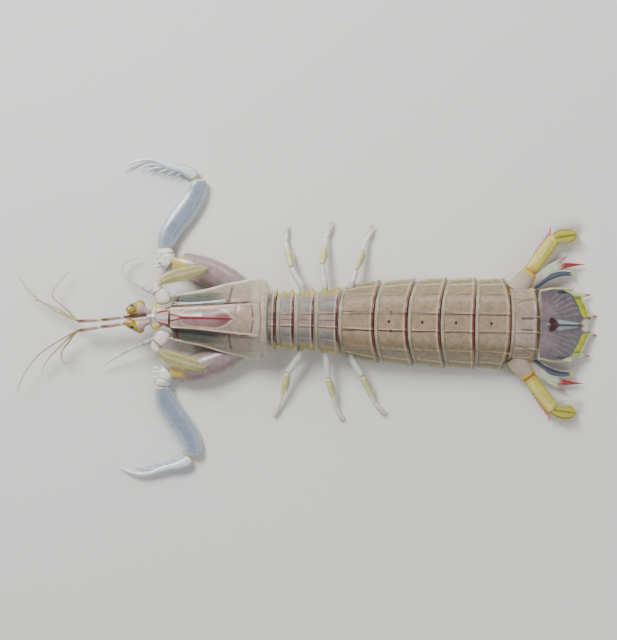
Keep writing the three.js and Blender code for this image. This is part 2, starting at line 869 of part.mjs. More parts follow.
// Walking legs: three pairs, each with a basal joint, a long joint and a brush-tipped foot, and a slim inner branch
const LEGS = {
  leg_1_right: [
    at(-1.2, 7.6, 5.4), at(-1.4, 10.6, 6.6), at(-5, 16.8, 5.4),
    at(-7, 25.5, 2.2), at(-6.4, 29.6, 0.45),
  ],
  leg_2_right: [
    at(5.6, 7.8, 5.4), at(6, 11, 6.6), at(4.9, 18, 5.4),
    at(6.2, 26.8, 2.2), at(8.2, 31.2, 0.45),
  ],
  leg_3_right: [
    at(14, 8, 5.2), at(14.8, 12.4, 6), at(16, 16.4, 5.2),
    at(19, 25.8, 2.2), at(21.6, 30.2, 0.45),
  ],
  leg_1_left: [
    at(-1.2, -7.6, 5.4), at(-1.8, -11.4, 6.6), at(-5.4, -17.2, 5.4),
    at(-7.8, -26.8, 2.2), at(-9.4, -31.6, 0.45),
  ],
  leg_2_left: [
    at(5.6, -7.8, 5.4), at(6.8, -12, 6.6), at(7.6, -18.6, 5.4),
    at(10.2, -28, 2.2), at(13, -32.4, 0.45),
  ],
  leg_3_left: [
    at(14, -8, 5.2), at(15.4, -12.8, 6), at(18.6, -17.8, 5.2),
    at(22.8, -26.4, 2.2), at(26.6, -30.2, 0.45),
  ],
};
// Stations down a leg as [segment, share of it, half thickness], over the segments root, hip, knee, ankle, foot
const LEG_STATIONS = [
  [0, 0, 1.25],
  [1, 0, 1.05],
  [1, 0.9, 1],
  [2, 0, 0.78],
  [2, 0.12, 0.92],
  [2, 0.9, 0.88],
  [3, 0, 0.62],
  [3, 0.6, 0.66],
  [3, 1, 0.4],
];

function leg(joints) {
  const between = (i, share) => joints[i].clone().lerp(joints[i + 1], share);
  const main = limb(
    LEG_STATIONS.map(([i, share]) => between(i, share)),
    LEG_STATIONS.map(([, , half]) => [half, half]),
    { sides: 6 },
  );
  const branch = limb(
    [between(1, 0.86), between(2, 0.3).add(at(1.2, 0, -1)), between(2, 0.62).add(at(1.4, 0, -1.6))],
    [
      [0.55, 0.5],
      [0.4, 0.35],
      [0.3, 0.25],
    ],
    { sides: 5 },
  );
  return join(main, branch);
}

function makeLegs() {
  for (const [name, points] of Object.entries(LEGS)) {
    const pair = Number(name.split("_")[1]);
    keep(name, leg(points), "leg");
    cutClear(name, `thorax_${pair + 5}`, pair < 3 ? `thorax_${pair + 6}` : "abdomen_1");
  }
}

// Swimming legs under the abdomen: a block, two flat blades folded back on the floor, and a tuft of gill filaments
const GILL_FILAMENTS = 2;

function swimmer(x) {
  const block = limb(
    [at(x + 0.9, 5.4, 3.3), at(x + 3.2, 6, 2.2)],
    [
      [2.4, 1.4],
      [2.2, 0.8],
    ],
    { sides: 6 },
  );
  const blade = (y, out, half) =>
    limb(
      [
        at(x + 2.4, y, 2.3),
        at(x + 4.8, y + out * 0.4, 1.4),
        at(x + 7.2, y + out * 0.8, 0.5),
        at(x + 9.2, y + out, 0.35),
      ],
      [
        [half * 0.6, 0.5],
        [half, 0.45],
        [half, 0.42],
        [half * 0.35, 0.36],
      ],
      { sides: 6 },
    );
  const gills = [];
  for (let i = 0; i < GILL_FILAMENTS; i += 1) {
    const y = 4.4 + 1.8 * i;
    gills.push(spine(at(x + 1.8, y, 3.6), at(x + 5.4 + i, y - 0.5, 3.9 - 0.15 * i), 0.5));
  }
  return join(block, blade(7.1, 0.6, 1.9), blade(3.8, -0.7, 1.8), gills);
}

function makeSwimmers() {
  for (let i = 0; i < 5; i += 1) {
    const x = stations[THORAX_LENGTHS.length + i] + 1.6;
    for (const [name, side] of SIDES)
      keep(`swimmer_${i + 1}_${name}`, mirrored(swimmer(x), side), "swimmer");
  }
}

// Tail fan: a base with a two-spined process, an outer branch of two joints and an inner blade on each side
const FAN_TURN = { right: 1.2, left: -1.2 }; // degrees that each side is opened from the mean
const FAN_PIVOT = at(67, 11, 0);
const FAN_SPINES = 7;

function fanBase() {
  const block = limb(
    [at(67.2, 10.2, 6.6), at(69.2, 12.9, 6.1), at(70.9, 15.2, 5.5), at(72.2, 17, 5)],
    [
      [3.3, 2],
      [3.2, 1.8],
      [2.8, 1.5],
      [2.3, 1.2],
    ],
    { sides: 8 },
  );
  const process = limb(
    [at(71.6, 12.6, 5.2), at(75.4, 15.2, 4.2), at(79, 17.4, 3.4), at(84, 18.9, 2.7), at(90.4, 19.3, 2)],
    [
      [1.8, 0.9],
      [1.9, 0.8],
      [1.6, 0.7],
      [0.85, 0.6],
      [POINT, POINT],
    ],
    { steps: 8 },
  );
  const short = spine(at(78.4, 18.2, 3.4), at(84.8, 22, 2.4), 0.85, { flat: 0.8 });
  return join(block, process, short);
}

const OUTER_ROOT = at(72.1, 17, 4.9);
const OUTER_END = at(80.4, 27.9, 3.3);

function fanOuter() {
  const mid = OUTER_ROOT.clone().lerp(OUTER_END, 0.5);
  const nearRoot = OUTER_ROOT.clone().lerp(OUTER_END, 0.2);
  const segment = limb(
    [OUTER_ROOT, nearRoot, mid, OUTER_END.clone().lerp(mid, 0.15), OUTER_END],
    [
      [2, 1],
      [2.15, 1.05],
      [2.2, 1.05],
      [2.1, 0.9],
      [1.6, 0.7],
    ],
    { sides: 8 },
  );
  const along = OUTER_END.clone().sub(OUTER_ROOT).normalize();
  const out = at(-along.y, along.x, 0).normalize();
  const spines = [];
  for (let i = 0; i < FAN_SPINES; i += 1) {
    const t = 0.36 + (0.6 * i) / (FAN_SPINES - 1);
    const length = 1 + 0.14 * i + (i === FAN_SPINES - 1 ? 0.9 : 0);
    const root = OUTER_ROOT.clone().lerp(OUTER_END, t).addScaledVector(out, 1.5);
    const tip = root.clone().addScaledVector(out, 0.8 + 0.35 * length).addScaledVector(along, length);
    spines.push(spine(root, tip, 0.42));
  }
  return join(segment, spines);
}

function fanPaddle() {
  return limb(
    [at(79.6, 27.5, 3.2), at(81.2, 27.9, 3), at(83.4, 28.3, 2.6), at(86, 28.7, 2.1), at(88, 29, 1.7)],
    [
      [1.1, 0.55],
      [1.9, 0.6],
      [2.4, 0.55],
      [2, 0.5],
      [0.7, 0.35],
    ],
    { sides: 10, steps: 7 },
  );
}

function fanInner() {
  return limb(
    [at(72.8, 11.2, 5), at(75.2, 12.9, 4.5), at(78.6, 15, 3.8), at(82.6, 16.2, 3), at(87, 16.2, 2.2)],
    [
      [0.9, 0.5],
      [1.4, 0.55],
      [1.5, 0.5],
      [1.25, 0.5],
      [0.6, 0.36],
    ],
    { steps: 8 },
  );
}

function makeTailFan() {
  for (const [name, side] of SIDES) {
    const pivot = FAN_PIVOT.toArray();
    const place = (made) =>
      mirrored(made.translate(pivot.map((v) => -v)).rotate([0, 0, FAN_TURN[name]]).translate(pivot), side);
    keep(`fan_base_${name}`, place(fanBase()), "shell");
    cutClear(`fan_base_${name}`, "abdomen_6", "abdomen_5", "telson");
    keep(`fan_inner_${name}`, place(fanInner()), "fan");
    cutClear(`fan_inner_${name}`, "abdomen_6", "telson", `fan_base_${name}`);
    keep(`fan_outer_${name}`, place(fanOuter()), "fan");
    cutClear(`fan_outer_${name}`, `fan_base_${name}`);
    keep(`fan_paddle_${name}`, place(fanPaddle()), "fan");
    cutClear(`fan_paddle_${name}`, `fan_outer_${name}`);
  }
}

makeThorax();
makeAbdomen();
makeTelson();
makeCarapace();
makeCephalothorax();
makeHead();
makeEyes();
makeAntennules();
makeClaws();
makeAntennae();
makeMaxillipeds();
makeLegs();
makeSwimmers();
makeTailFan();

// What would reach through the floor ends in a flat on it.
const mantisShrimp = new THREE.Group();
const bounds = new THREE.Box3();
for (const [name, { body: made, colour }] of nodes) {
  const geometry = geometryOf(largest(made.trimByPlane([0, 0, 1], 0)));
  geometry.computeBoundingBox();
  bounds.union(geometry.boundingBox);
  const [hex, roughness] = COLOURS[colour];
  const material = new THREE.MeshStandardMaterial({ color: hex, roughness, metalness: 0 });
  const mesh = new THREE.Mesh(geometry, material);
  mesh.name = name;
  mantisShrimp.add(mesh);
}

// The origin is the middle of the footprint, on the floor.
const middle = bounds.getCenter(at(0, 0, 0));
mantisShrimp.position.set(-middle.x, -middle.y, -bounds.min.z);

export default mantisShrimp;
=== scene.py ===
"""A life-size model of a spearing mantis shrimp, dressed with shell relief, markings and bristles."""

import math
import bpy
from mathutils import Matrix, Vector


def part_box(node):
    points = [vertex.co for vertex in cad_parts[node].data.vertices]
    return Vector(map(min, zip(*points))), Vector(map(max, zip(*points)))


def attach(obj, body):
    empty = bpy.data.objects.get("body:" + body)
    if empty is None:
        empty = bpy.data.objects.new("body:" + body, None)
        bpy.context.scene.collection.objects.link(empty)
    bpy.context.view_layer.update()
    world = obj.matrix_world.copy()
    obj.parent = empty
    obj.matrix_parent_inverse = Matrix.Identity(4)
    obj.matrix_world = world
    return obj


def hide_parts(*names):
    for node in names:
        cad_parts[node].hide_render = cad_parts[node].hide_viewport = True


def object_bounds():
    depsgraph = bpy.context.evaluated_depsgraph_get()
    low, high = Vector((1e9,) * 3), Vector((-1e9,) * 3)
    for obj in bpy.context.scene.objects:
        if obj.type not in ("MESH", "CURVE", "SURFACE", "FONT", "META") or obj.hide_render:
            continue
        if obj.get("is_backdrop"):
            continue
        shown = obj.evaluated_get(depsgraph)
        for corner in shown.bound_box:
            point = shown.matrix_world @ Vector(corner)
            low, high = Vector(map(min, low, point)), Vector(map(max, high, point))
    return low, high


bl_info = {
    "name": "Mantis shrimp model",
    "version": (1, 0, 0),
    "blender": (4, 5, 0),
    "location": "View3D > Sidebar > Mantis shrimp",
    "description": "Builds the shell plates, eyes, claws, limbs and tail fan of a mantis shrimp model",
    "category": "Add Mesh",
}

import bpy
import numpy as np
from bpy.props import FloatProperty, FloatVectorProperty, PointerProperty
from mathutils import Vector

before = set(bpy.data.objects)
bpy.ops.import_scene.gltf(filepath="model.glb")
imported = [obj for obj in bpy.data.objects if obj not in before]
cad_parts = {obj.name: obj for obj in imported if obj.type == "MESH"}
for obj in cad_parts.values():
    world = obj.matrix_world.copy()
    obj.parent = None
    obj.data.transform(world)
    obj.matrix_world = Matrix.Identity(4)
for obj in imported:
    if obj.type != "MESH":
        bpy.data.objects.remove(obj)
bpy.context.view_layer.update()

MM = 0.001
DEPTH_OF_COLOUR = 1.35  # gamma that deepens the pigment under the lacquer
BRISTLE = "D6CEBC"
SIDES = (("right", 1), ("left", -1))

# Sizes in millimetres, head towards -X, the animal's right side at +Y, the floor at z = 0
GAP = 0.3
CARAPACE_FRONT = -43
CARAPACE_REAR = -12.3
THORAX_LENGTHS = (2.9, 5.8, 6.3, 7.6)
ABDOMEN_LENGTHS = (11.4, 10.6, 10.5, 11, 11.7, 8.6)
TELSON_SLOPE = 27
BELLY = 5.2
TRUNK_BELLY = 3.9
STATIONS = CARAPACE_REAR + np.cumsum((0,) + THORAX_LENGTHS + ABDOMEN_LENGTHS)
TELSON_ROOT = STATIONS[-1]
UP = np.array([0.0, 0.0, 1.0])
LEAST_HEIGHT = 0.02  # of any point over the floor
BRISTLE_HEIGHT = 0.04
BRISTLE_SCATTER = 0.14  # of directions, as a share of the length
BRISTLE_CURL = 0.12
SHARP_ANGLE = 50  # degrees between faces that shade as an edge
ARCH = 3.4  # power that makes the rings' backs flat and their sides steep
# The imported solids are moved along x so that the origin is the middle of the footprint.
SHIFT = np.array([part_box("carapace")[0][0] / MM - CARAPACE_FRONT, 0, 0])


def linear(code):
    """An sRGB hex colour as linear red, green and blue."""
    value = np.array([int(code[i : i + 2], 16) for i in (0, 2, 4)]) / 255
    return np.where(value <= 0.04045, value / 12.92, ((value + 0.055) / 1.055) ** 2.4)


def ramp(value, start, end):
    """0 before start, 1 after end and a smooth rise between them."""
    t = np.clip((value - start) / (end - start), 0, 1)
    return t * t * (3 - 2 * t)


def fall(value, start, end):
    """1 before start, 0 after end and a smooth fall between them."""
    return 1 - ramp(value, start, end)


def stripe(distance, half, soft):
    """1 within half a width of a line, with a soft edge."""
    return fall(np.abs(distance), half, half + soft)


def swell(distance, width):
    """1 on a line, falling away roundly to both sides."""
    return np.exp(-((distance / width) ** 2))


def spread(x, y, z):
    """A grid of points from coordinates that fit together."""
    return np.stack(np.broadcast_arrays(x, y, z), -1)


def even(*radii):
    """Sizes as wide as they are high."""
    return [(radius, radius) for radius in radii]


def between(start, end, share):
    """A point at a share of the way from one point to another."""
    return start + (end - start) * share


def profile(*stations):
    """A smooth value along x through its (x, value) stations, flat beyond the ends."""
    xs, values = np.array(stations, float).T
    steps = np.diff(values) / np.diff(xs)
    inner = steps[:-1] * steps[1:]
    mean = np.where(inner > 0, 2 * inner / (steps[:-1] + steps[1:] + (inner <= 0)), 0)
    slopes = np.concatenate([[steps[0]], mean, [steps[-1]]])

    def value(x):
        x = np.clip(x, xs[0], xs[-1])
        i = np.clip(np.searchsorted(xs, x) - 1, 0, len(xs) - 2)
        width = xs[i + 1] - xs[i]
        t = (x - xs[i]) / width
        start = (1 + 2 * t) * (1 - t) ** 2 * values[i] + t * (1 - t) ** 2 * width * slopes[i]
        end = t * t * (3 - 2 * t) * values[i + 1] + t * t * (t - 1) * width * slopes[i + 1]
        return start + end

    return value


def unit(vectors):
    """The same directions with a length of 1."""
    return vectors / np.maximum(np.linalg.norm(vectors, axis=-1, keepdims=True), 1e-9)


def curve(points, t):
    """Points on a centripetal spline through the given ones, at shares t of the way."""
    p = np.array(points, float)
    p = np.vstack([2 * p[0] - p[1], p, 2 * p[-1] - p[-2]])
    place = np.clip(t, 0, 1) * (len(p) - 3)
    i = np.minimum(place.astype(int), len(p) - 4)
    w = (place - i)[:, None]
    root = np.sqrt(np.linalg.norm(np.diff(p, axis=0), axis=1))[:, None]
    d0, d1, d2 = root[i], root[i + 1], root[i + 2]
    p0, p1, p2, p3 = p[i], p[i + 1], p[i + 2], p[i + 3]
    m1 = ((p1 - p0) / d0 - (p2 - p0) / (d0 + d1) + (p2 - p1) / d1) * d1
    m2 = ((p2 - p1) / d1 - (p3 - p1) / (d1 + d2) + (p3 - p2) / d2) * d1
    return p1 + m1 * w + (3 * (p2 - p1) - 2 * m1 - m2) * w**2 + (2 * (p1 - p2) + m1 + m2) * w**3


class Paint:
    """Colours of a grid of points, with the share of brown speckles as a fourth value."""

    def __init__(self, grid, code, speckle=0.0):
        shape = grid.shape[:2]
        self.rgb = np.broadcast_to(linear(code), shape + (3,)).copy()
        self.speckle = np.full(shape, float(speckle))

    def over(self, code, mask):
        """Lays a colour over the paint where the mask is 1."""
        mask = np.clip(mask, 0, 1)[..., None]
        self.rgb = self.rgb * (1 - mask) + linear(code) * mask
        return self

    def speckled(self, amount, mask):
        """Sets the share of speckles where the mask is 1."""
        self.speckle = self.speckle * (1 - mask) + amount * mask
        return self

    def values(self):
        """The colours and speckles as one row for each point."""
        return np.concatenate([self.rgb, self.speckle[..., None]], -1).reshape(-1, 4)


class Shape:
    """Points, triangles and paint of one closed surface."""

    def __init__(self, points, faces, paint):
        self.points = points.reshape(-1, 3)
        self.paint = paint
        corners = self.points[faces]
        volume = np.einsum("ij,ij->i", corners[:, 0], np.cross(corners[:, 1], corners[:, 2])).sum()
        self.faces = faces if volume > 0 else faces[:, ::-1]

    def mirrored(self, side):
        """The same shape for side 1, and its mirror image for side -1."""
        if side > 0:
            return self
        return Shape(self.points * (1, -1, 1), self.faces, self.paint)

    def paired(self):
        """The shape and its mirror image."""
        return [self, self.mirrored(-1)]

    def moved(self, change):
        """The shape with its points changed."""
        return Shape(change(self.points), self.faces, self.paint)


def grid_faces(rows, columns, wrap):
    """Triangles of a grid of points, joined round where it wraps."""
    i, j = np.meshgrid(np.arange(rows - 1), np.arange(columns if wrap else columns - 1), indexing="ij")
    a = i * columns + j
    b = i * columns + (j + 1) % columns
    return np.concatenate(
        [np.stack([a, b, b + columns], -1), np.stack([a, b + columns, a + columns], -1)]
    ).reshape(-1, 3)


def ringed(rings, paint):
    """A closed surface through round rings, with a fan over each end."""
    rows, sides, _ = rings.shape
    faces = [grid_faces(rows, sides, True)]
    ends = np.stack([rings[0].mean(0), rings[-1].mean(0)])
    j = np.arange(sides)
    following = (j + 1) % sides
    tail = (rows - 1) * sides
    faces.append(np.stack([np.full(sides, rows * sides), following, j], -1))
    faces.append(np.stack([np.full(sides, rows * sides + 1), tail + j, tail + following], -1))
    values = paint.values()
    values = np.vstack([values, values[:1], values[-1:]])
    return Shape(np.vstack([rings.reshape(-1, 3), ends]), np.concatenate(faces), values)


def plated(upper, under, paint_upper, paint_under):
    """A closed plate between an upper and an under grid of points."""
    rows, columns, _ = upper.shape
    count = rows * columns
    top = grid_faces(rows, columns, False)
    index = np.arange(count).reshape(rows, columns)
    edge = np.concatenate([index[0], index[1:, -1], index[-1, -2::-1], index[-2:0:-1, 0]])
    following = np.roll(edge, -1)
    near = np.stack([edge, edge + count, following + count], -1)
    far = np.stack([edge, following + count, following], -1)
    rim = np.concatenate([near, far])
    faces = np.concatenate([top[:, ::-1], top + count, rim])
    points = np.vstack([upper.reshape(-1, 3), under.reshape(-1, 3)])
    return Shape(points, faces, np.vstack([paint_upper.values(), paint_under.values()]))


def limb(points, sizes, paint, sides=20, steps=60, domed=(0, 0), relief=None):
    """A round or flattened limb. Sizes are (half width, half height) stations evenly along it.

    paint(t, angle, rings) gives its colours, relief(t, angle) scales its rings, and domed rounds off its
    two ends over lengths in millimetres.
    """
    t = np.linspace(0, 1, steps + 1)
    if max(domed) > 0:
        t = (1 - np.cos(np.pi * t)) / 2 * 0.5 + t * 0.5
    centre = curve(points, t)
    along = unit(np.gradient(centre, axis=0))
    across = unit(np.cross(UP, along))
    rise = np.cross(along, across)
    stations = np.array(sizes, float)
    place = t * (len(stations) - 1)
    half = [profile(*zip(range(len(stations)), stations[:, k]))(place) for k in (0, 1)]
    reach = np.concatenate([[0], np.cumsum(np.linalg.norm(np.diff(centre, axis=0), axis=1))])
    for length, distance in zip(domed, (reach, reach[-1] - reach)):
        if length > 0:
            share = np.clip(distance / length, 0.0004, 1)
            half = [h * np.sqrt(1 - (1 - share) ** 2) for h in half]
    angle = np.arange(sides) / sides * 2 * math.pi
    scale = 1 if relief is None else relief(t[:, None], angle[None])[..., None]
    round_ = (
        across[:, None] * (half[0][:, None] * np.cos(angle))[..., None]
        + rise[:, None] * (half[1][:, None] * np.sin(angle))[..., None]
    )
    rings = centre[:, None] + round_ * scale
    return ringed(rings, paint(np.broadcast_to(t[:, None], rings.shape[:2]), angle[None], rings))


def plain(code):
    """A paint function of one colour."""
    return lambda t, angle, rings: Paint(rings, code)


def tipped(code, tip, start=0.5):
    """A paint function that runs from one colour to another at the tip."""
    return lambda t, angle, rings: Paint(rings, code).over(tip, ramp(t, start, 1))


def spine(root, tip, radius, paint, bow=(0, 0, 0), flat=1.0, sides=10, steps=14):
    """A tapered, slightly bowed spine."""
    root, tip, bow = (np.array(v, float) for v in (root, tip, bow))
    points = [root + (tip - root) * t + bow * 4 * t * (1 - t) for t in (0, 0.35, 0.7, 1)]
    sizes = [(max(radius * k, 0.03), max(radius * k * flat, 0.03)) for k in (1, 0.85, 0.5, 0)]
    return limb(points, sizes, paint, sides=sides, steps=steps)


def bristles(roots, directions, lengths, seed, code=BRISTLE, radius=0.055):
    """Fine bristles, each a slim three-sided spine that bends a little."""
    random = np.random.default_rng(seed)
    roots = np.asarray(roots, float)
    count = len(roots)
    direction = unit(np.asarray(directions, float) + random.normal(0, BRISTLE_SCATTER, (count, 3)))
    length = (np.asarray(lengths) * random.uniform(0.8, 1.1, count))[:, None]
    bend = random.normal(0, BRISTLE_CURL, (count, 3)) * length
    side = unit(np.cross(direction, UP + (0.01, 0.02, 0)))
    lift = np.cross(side, direction)
    rings = []
    for share, width in ((0, 1), (0.5, 0.75)):
        centre = roots + direction * length * share + bend * share**2
        for k in range(3):
            a = k * 2 * math.pi / 3
            rings.append(centre + (side * math.cos(a) + lift * math.sin(a)) * radius * width)
    rings.append(roots + direction * length + bend)
    points = np.stack(rings, 1)
    points[..., 2] = np.maximum(points[..., 2], BRISTLE_HEIGHT)
    pattern = [(0, 2, 1)]
    for k in range(3):
        n = (k + 1) % 3
        pattern += [(k, n, n + 3), (k, n + 3, k + 3), (k + 3, n + 3, 6)]
    faces = (np.arange(count)[:, None, None] * 7 + np.array(pattern)).reshape(-1, 3)
    return Shape(points, faces, Paint(points, code).values())


def build(name, shapes, material, nodes, side=1):
    """Joins shapes to one object that rides on the body and takes the place of its solids."""
    shapes = [shape.mirrored(side) for shape in shapes]
    starts = np.cumsum([0] + [len(shape.points) for shape in shapes])
    points = np.vstack([shape.points for shape in shapes])
    # What would reach through the floor lies flat on it
    points[:, 2] = np.maximum(points[:, 2], LEAST_HEIGHT)
    points = (points + SHIFT) * MM
    faces = np.vstack([shape.faces + start for shape, start in zip(shapes, starts)])
    mesh = bpy.data.meshes.new(name)
    mesh.vertices.add(len(points))
    mesh.vertices.foreach_set("co", points.astype(np.float32).ravel())
    mesh.loops.add(faces.size)
    mesh.loops.foreach_set("vertex_index", faces.astype(np.int32).ravel())
    mesh.polygons.add(len(faces))
    mesh.polygons.foreach_set("loop_start", np.arange(0, faces.size, 3, dtype=np.int32))
    mesh.update(calc_edges=True)
    tint = mesh.attributes.new("tint", "FLOAT_COLOR", "POINT")
    tint.data.foreach_set("color", np.vstack([s.paint for s in shapes]).astype(np.float32).ravel())
    mesh.shade_smooth()
    mesh.set_sharp_from_angle(angle=math.radians(SHARP_ANGLE))
    mesh.materials.append(material)
    piece = bpy.data.objects.new(name, mesh)
    bpy.context.scene.collection.objects.link(piece)
    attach(piece, "root")
    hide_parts(*nodes)


def node(tree, kind, settings=None, links=None):
    """Adds a node, sets its properties and inputs, and links its inputs to (node, output) pairs."""
    made = tree.nodes.new(kind)
    for key, value in (settings or {}).items():
        if hasattr(made, key):
            setattr(made, key, value)
        else:
            made.inputs[key].default_value = value
    for key, (source, output) in (links or {}).items():
        tree.links.new(source.outputs[output], made.inputs[key])
    return made


def chitin(name, roughness=0.4, coat=0.35, soft=0.15, pit=0.35, depth=0.02, mottle=0.14):
    """Painted, varnished shell: the tint attribute, mottled and speckled, over fine pits of a size in mm."""
    material = bpy.data.materials.new(name)
    material.use_nodes = True
    tree = material.node_tree
    shader = tree.nodes["Principled BSDF"]
    tint = node(tree, "ShaderNodeAttribute", {"attribute_name": "tint"})
    place = node(tree, "ShaderNodeTexCoord")
    scaled = {"operation": "SCALE"}
    in_mm = node(tree, "ShaderNodeVectorMath", {**scaled, "Scale": 1 / MM}, {0: (place, "Object")})
    cloud = node(tree, "ShaderNodeTexNoise", {"Scale": 0.55, "Detail": 4.0}, {"Vector": (in_mm, 0)})
    shades = {"From Min": 0.3, "From Max": 0.7, "To Min": 1 - mottle, "To Max": 1 + mottle}
    shade = node(tree, "ShaderNodeMapRange", shades, {"Value": (cloud, "Fac")})
    mottled = node(tree, "ShaderNodeVectorMath", scaled, {0: (tint, "Color"), "Scale": (shade, 0)})
    # Pigment cells, drawn coarser than the real ones so that they show
    grains = node(tree, "ShaderNodeTexNoise", {"Scale": 5.5, "Detail": 2.0}, {"Vector": (in_mm, 0)})
    few = {"From Min": 0.54, "From Max": 0.7}
    spots = node(tree, "ShaderNodeMapRange", few, {"Value": (grains, "Fac")})
    share = node(tree, "ShaderNodeMath", {"operation": "MULTIPLY"}, {0: (spots, 0), 1: (tint, "Alpha")})
    speckled = node(tree, "ShaderNodeMix", {"data_type": "RGBA"}, {0: (share, 0), 6: (mottled, 0)})
    speckled.inputs[7].default_value = (*linear("54392B"), 1)
    # Pigment under lacquer is deeper than the paint laid on the shell
    deep = node(tree, "ShaderNodeGamma", {"Gamma": DEPTH_OF_COLOUR}, {"Color": (speckled, 2)})
    tree.links.new(deep.outputs[0], shader.inputs["Base Color"])
    pits = node(tree, "ShaderNodeTexVoronoi", {"Scale": 1 / pit}, {"Vector": (in_mm, 0)})
    fine = {"Strength": 0.6, "Distance": depth * MM}
    bump = node(tree, "ShaderNodeBump", fine, {"Height": (pits, "Distance")})
    swells = {"Strength": 0.5, "Distance": 0.06 * MM}
    coarse = node(tree, "ShaderNodeBump", swells, {"Height": (cloud, "Fac"), "Normal": (bump, 0)})
    tree.links.new(coarse.outputs[0], shader.inputs["Normal"])
    shader.inputs["Roughness"].default_value = roughness
    shader.inputs["IOR"].default_value = 1.5
    shader.inputs["Coat Weight"].default_value = coat
    shader.inputs["Coat Roughness"].default_value = 0.22
    shader.inputs["Subsurface Weight"].default_value = soft
    shader.inputs["Subsurface Radius"].default_value = (1.0, 0.6, 0.4)
    shader.inputs["Subsurface Scale"].default_value = 0.8 * MM
    return material


def finish_of(name):
    """The model's finishes, made once each."""
    if name in bpy.data.materials:
        return bpy.data.materials[name]
    settings = {
        # Thick dorsal shell, satin with a faint lacquer
        "shell_satin": dict(),
        # Carapace shell, thinner and glossier, so its olive ground glows a little
        "carapace_satin": dict(roughness=0.34, coat=0.5, soft=0.25),
        # Claw shell, dense and nearly glassy
        "claw_glossy": dict(roughness=0.26, coat=0.6, soft=0.3, pit=0.5, depth=0.012, mottle=0.07),
        # Feelers, legs and scales, thin and satin
        "limb_satin": dict(roughness=0.45, coat=0.2, soft=0.25, pit=0.3, mottle=0.08),
        # Soft wet membranes and gills
        "membrane_soft": dict(roughness=0.5, coat=0.3, soft=0.5, pit=0.8, mottle=0.08),
        # Eyes, smooth and wet, with fine facets
        "cornea_wet": dict(roughness=0.12, coat=0.9, soft=0.1, pit=0.16, depth=0.006, mottle=0.1),
    }
    return chitin(name, **settings[name])


# Trunk
top_of = profile((-12.3, 16.2), (10, 15.9), (30, 15.6), (54, 14.8), (65.5, 13.6), (74.1, 12))
half_width_of = profile(
    (-12.3, 8.5), (-3, 8.9), (10, 10.4), (11, 11.4), (21.7, 13.2), (42.8, 14.4), (65.5, 14.7), (66, 13.1),
    (74.1, 12.4),
)
sweep_of = profile(
    (-12.3, 0.8), (10.3, 2.2), (21.7, 3), (32.3, 3.2), (42.8, 2.7), (53.8, 1.2), (65.5, -1.2), (74.1, -0.6)
)


def swept(x, y):
    """Margins are swept back towards the sides."""
    return x + sweep_of(x) * (np.abs(y) / 14) ** 2.5


ACROSS = 121  # points across a ring


def even_shares(drop, half):
    """Shares across an arch that are evenly spaced along its surface."""
    fine = np.linspace(-1, 1, 801)
    height = -drop * np.abs(fine) ** ARCH
    reach = np.concatenate([[0], np.cumsum(np.hypot(np.diff(fine) * half, np.diff(height)))])
    return np.interp(np.linspace(0, reach[-1], ACROSS), reach, fine)


FRONT_BAND = 1.1  # length of the smooth band that slides under the ring before


def somite(start, end, drop, ridges, hanging, ridge_height, paint):
    """A body ring: a low front band, then a step up to a plate with carinae and a beaded hind margin."""
    start, end = start + GAP / 2, end - GAP / 2
    band = start + min(FRONT_BAND, (end - start) * 0.2)
    rows = max(14, int((end - start) / 0.2))
    x = np.linspace(start, end, rows)[:, None]
    u = even_shares(drop, float(half_width_of(end)))[None]
    plate = ramp(x, band, band + 0.35)
    along = np.clip((x - band) / (end - band), 0, 1)
    half = half_width_of(x) * (0.955 + 0.02 * plate + 0.04 * along)
    y = u * half
    arch = top_of(x) - 0.45 * (1 - plate) - drop * np.abs(u) ** ARCH
    relief = np.zeros(arch.shape)
    for ridge in ridges:
        distance = (np.abs(u) - ridge) * half
        relief += ridge_height * swell(distance, 0.28) * plate * (0.75 + 0.35 * along)
        relief -= 0.12 * swell(distance, 0.9) * plate
    hind = stripe(x - end + 0.35, 0.12, 0.25)
    relief += 0.18 * hind - 0.16 * stripe(x - end + 0.95, 0.1, 0.3) - 0.4 * ramp(x, end - 0.14, end)
    relief += 0.2 * swell((1 - np.abs(u)) * half - 0.25, 0.22) * plate * hanging
    if hanging:
        floor = np.where(np.abs(u) < 0.75, BELLY, arch - 2.1)
    else:
        floor = TRUNK_BELLY if end < 12 else BELLY
        floor = floor + (top_of(x) - drop - floor - 0.8) * u**4
    upper = spread(swept(x, y), y, arch + relief)
    under = spread(swept(x, y), y, np.minimum(floor, arch - 0.5))
    facts = np.broadcast_arrays(x - start, end - x, u, y, plate)
    return plated(upper, under, paint(*facts), Paint(upper, "D8CDB4"))


def paint_thorax(front, hind, u, y, plate):
    """Grey brown rings with grey panels, a red hind margin and olive sides."""
    made = Paint(u, "A2978A", 0.35)
    made.over("90949A", stripe(np.abs(y) - 4.8, 1.0, 1.6) * 0.45)
    made.over("B5A192", stripe(y, 1.8, 2.2) * 0.6)
    made.over("B9AB62", ramp(np.abs(u), 0.74, 0.93) * 0.85)
    made.over("BDB8A6", (1 - plate) * 0.6)
    # Painted shade: a dark line in the corner at the foot of the step up to the plate
    made.over("4E3A34", stripe(front - FRONT_BAND, 0.07, 0.12) * 0.5)
    made.over("6A1A1C", stripe(hind - 0.45, 0.24, 0.2) * fall(np.abs(y), 6, 8.4))
    made.over("DCD4C0", stripe(hind - 1.0, 0.14, 0.2) * 0.55)
    made.over("4E2A24", stripe(y, 0.08, 0.14) * plate * 0.7)
    return made.over("5C4238", stripe(np.abs(y) - 2.2, 0.06, 0.12) * plate * 0.5)


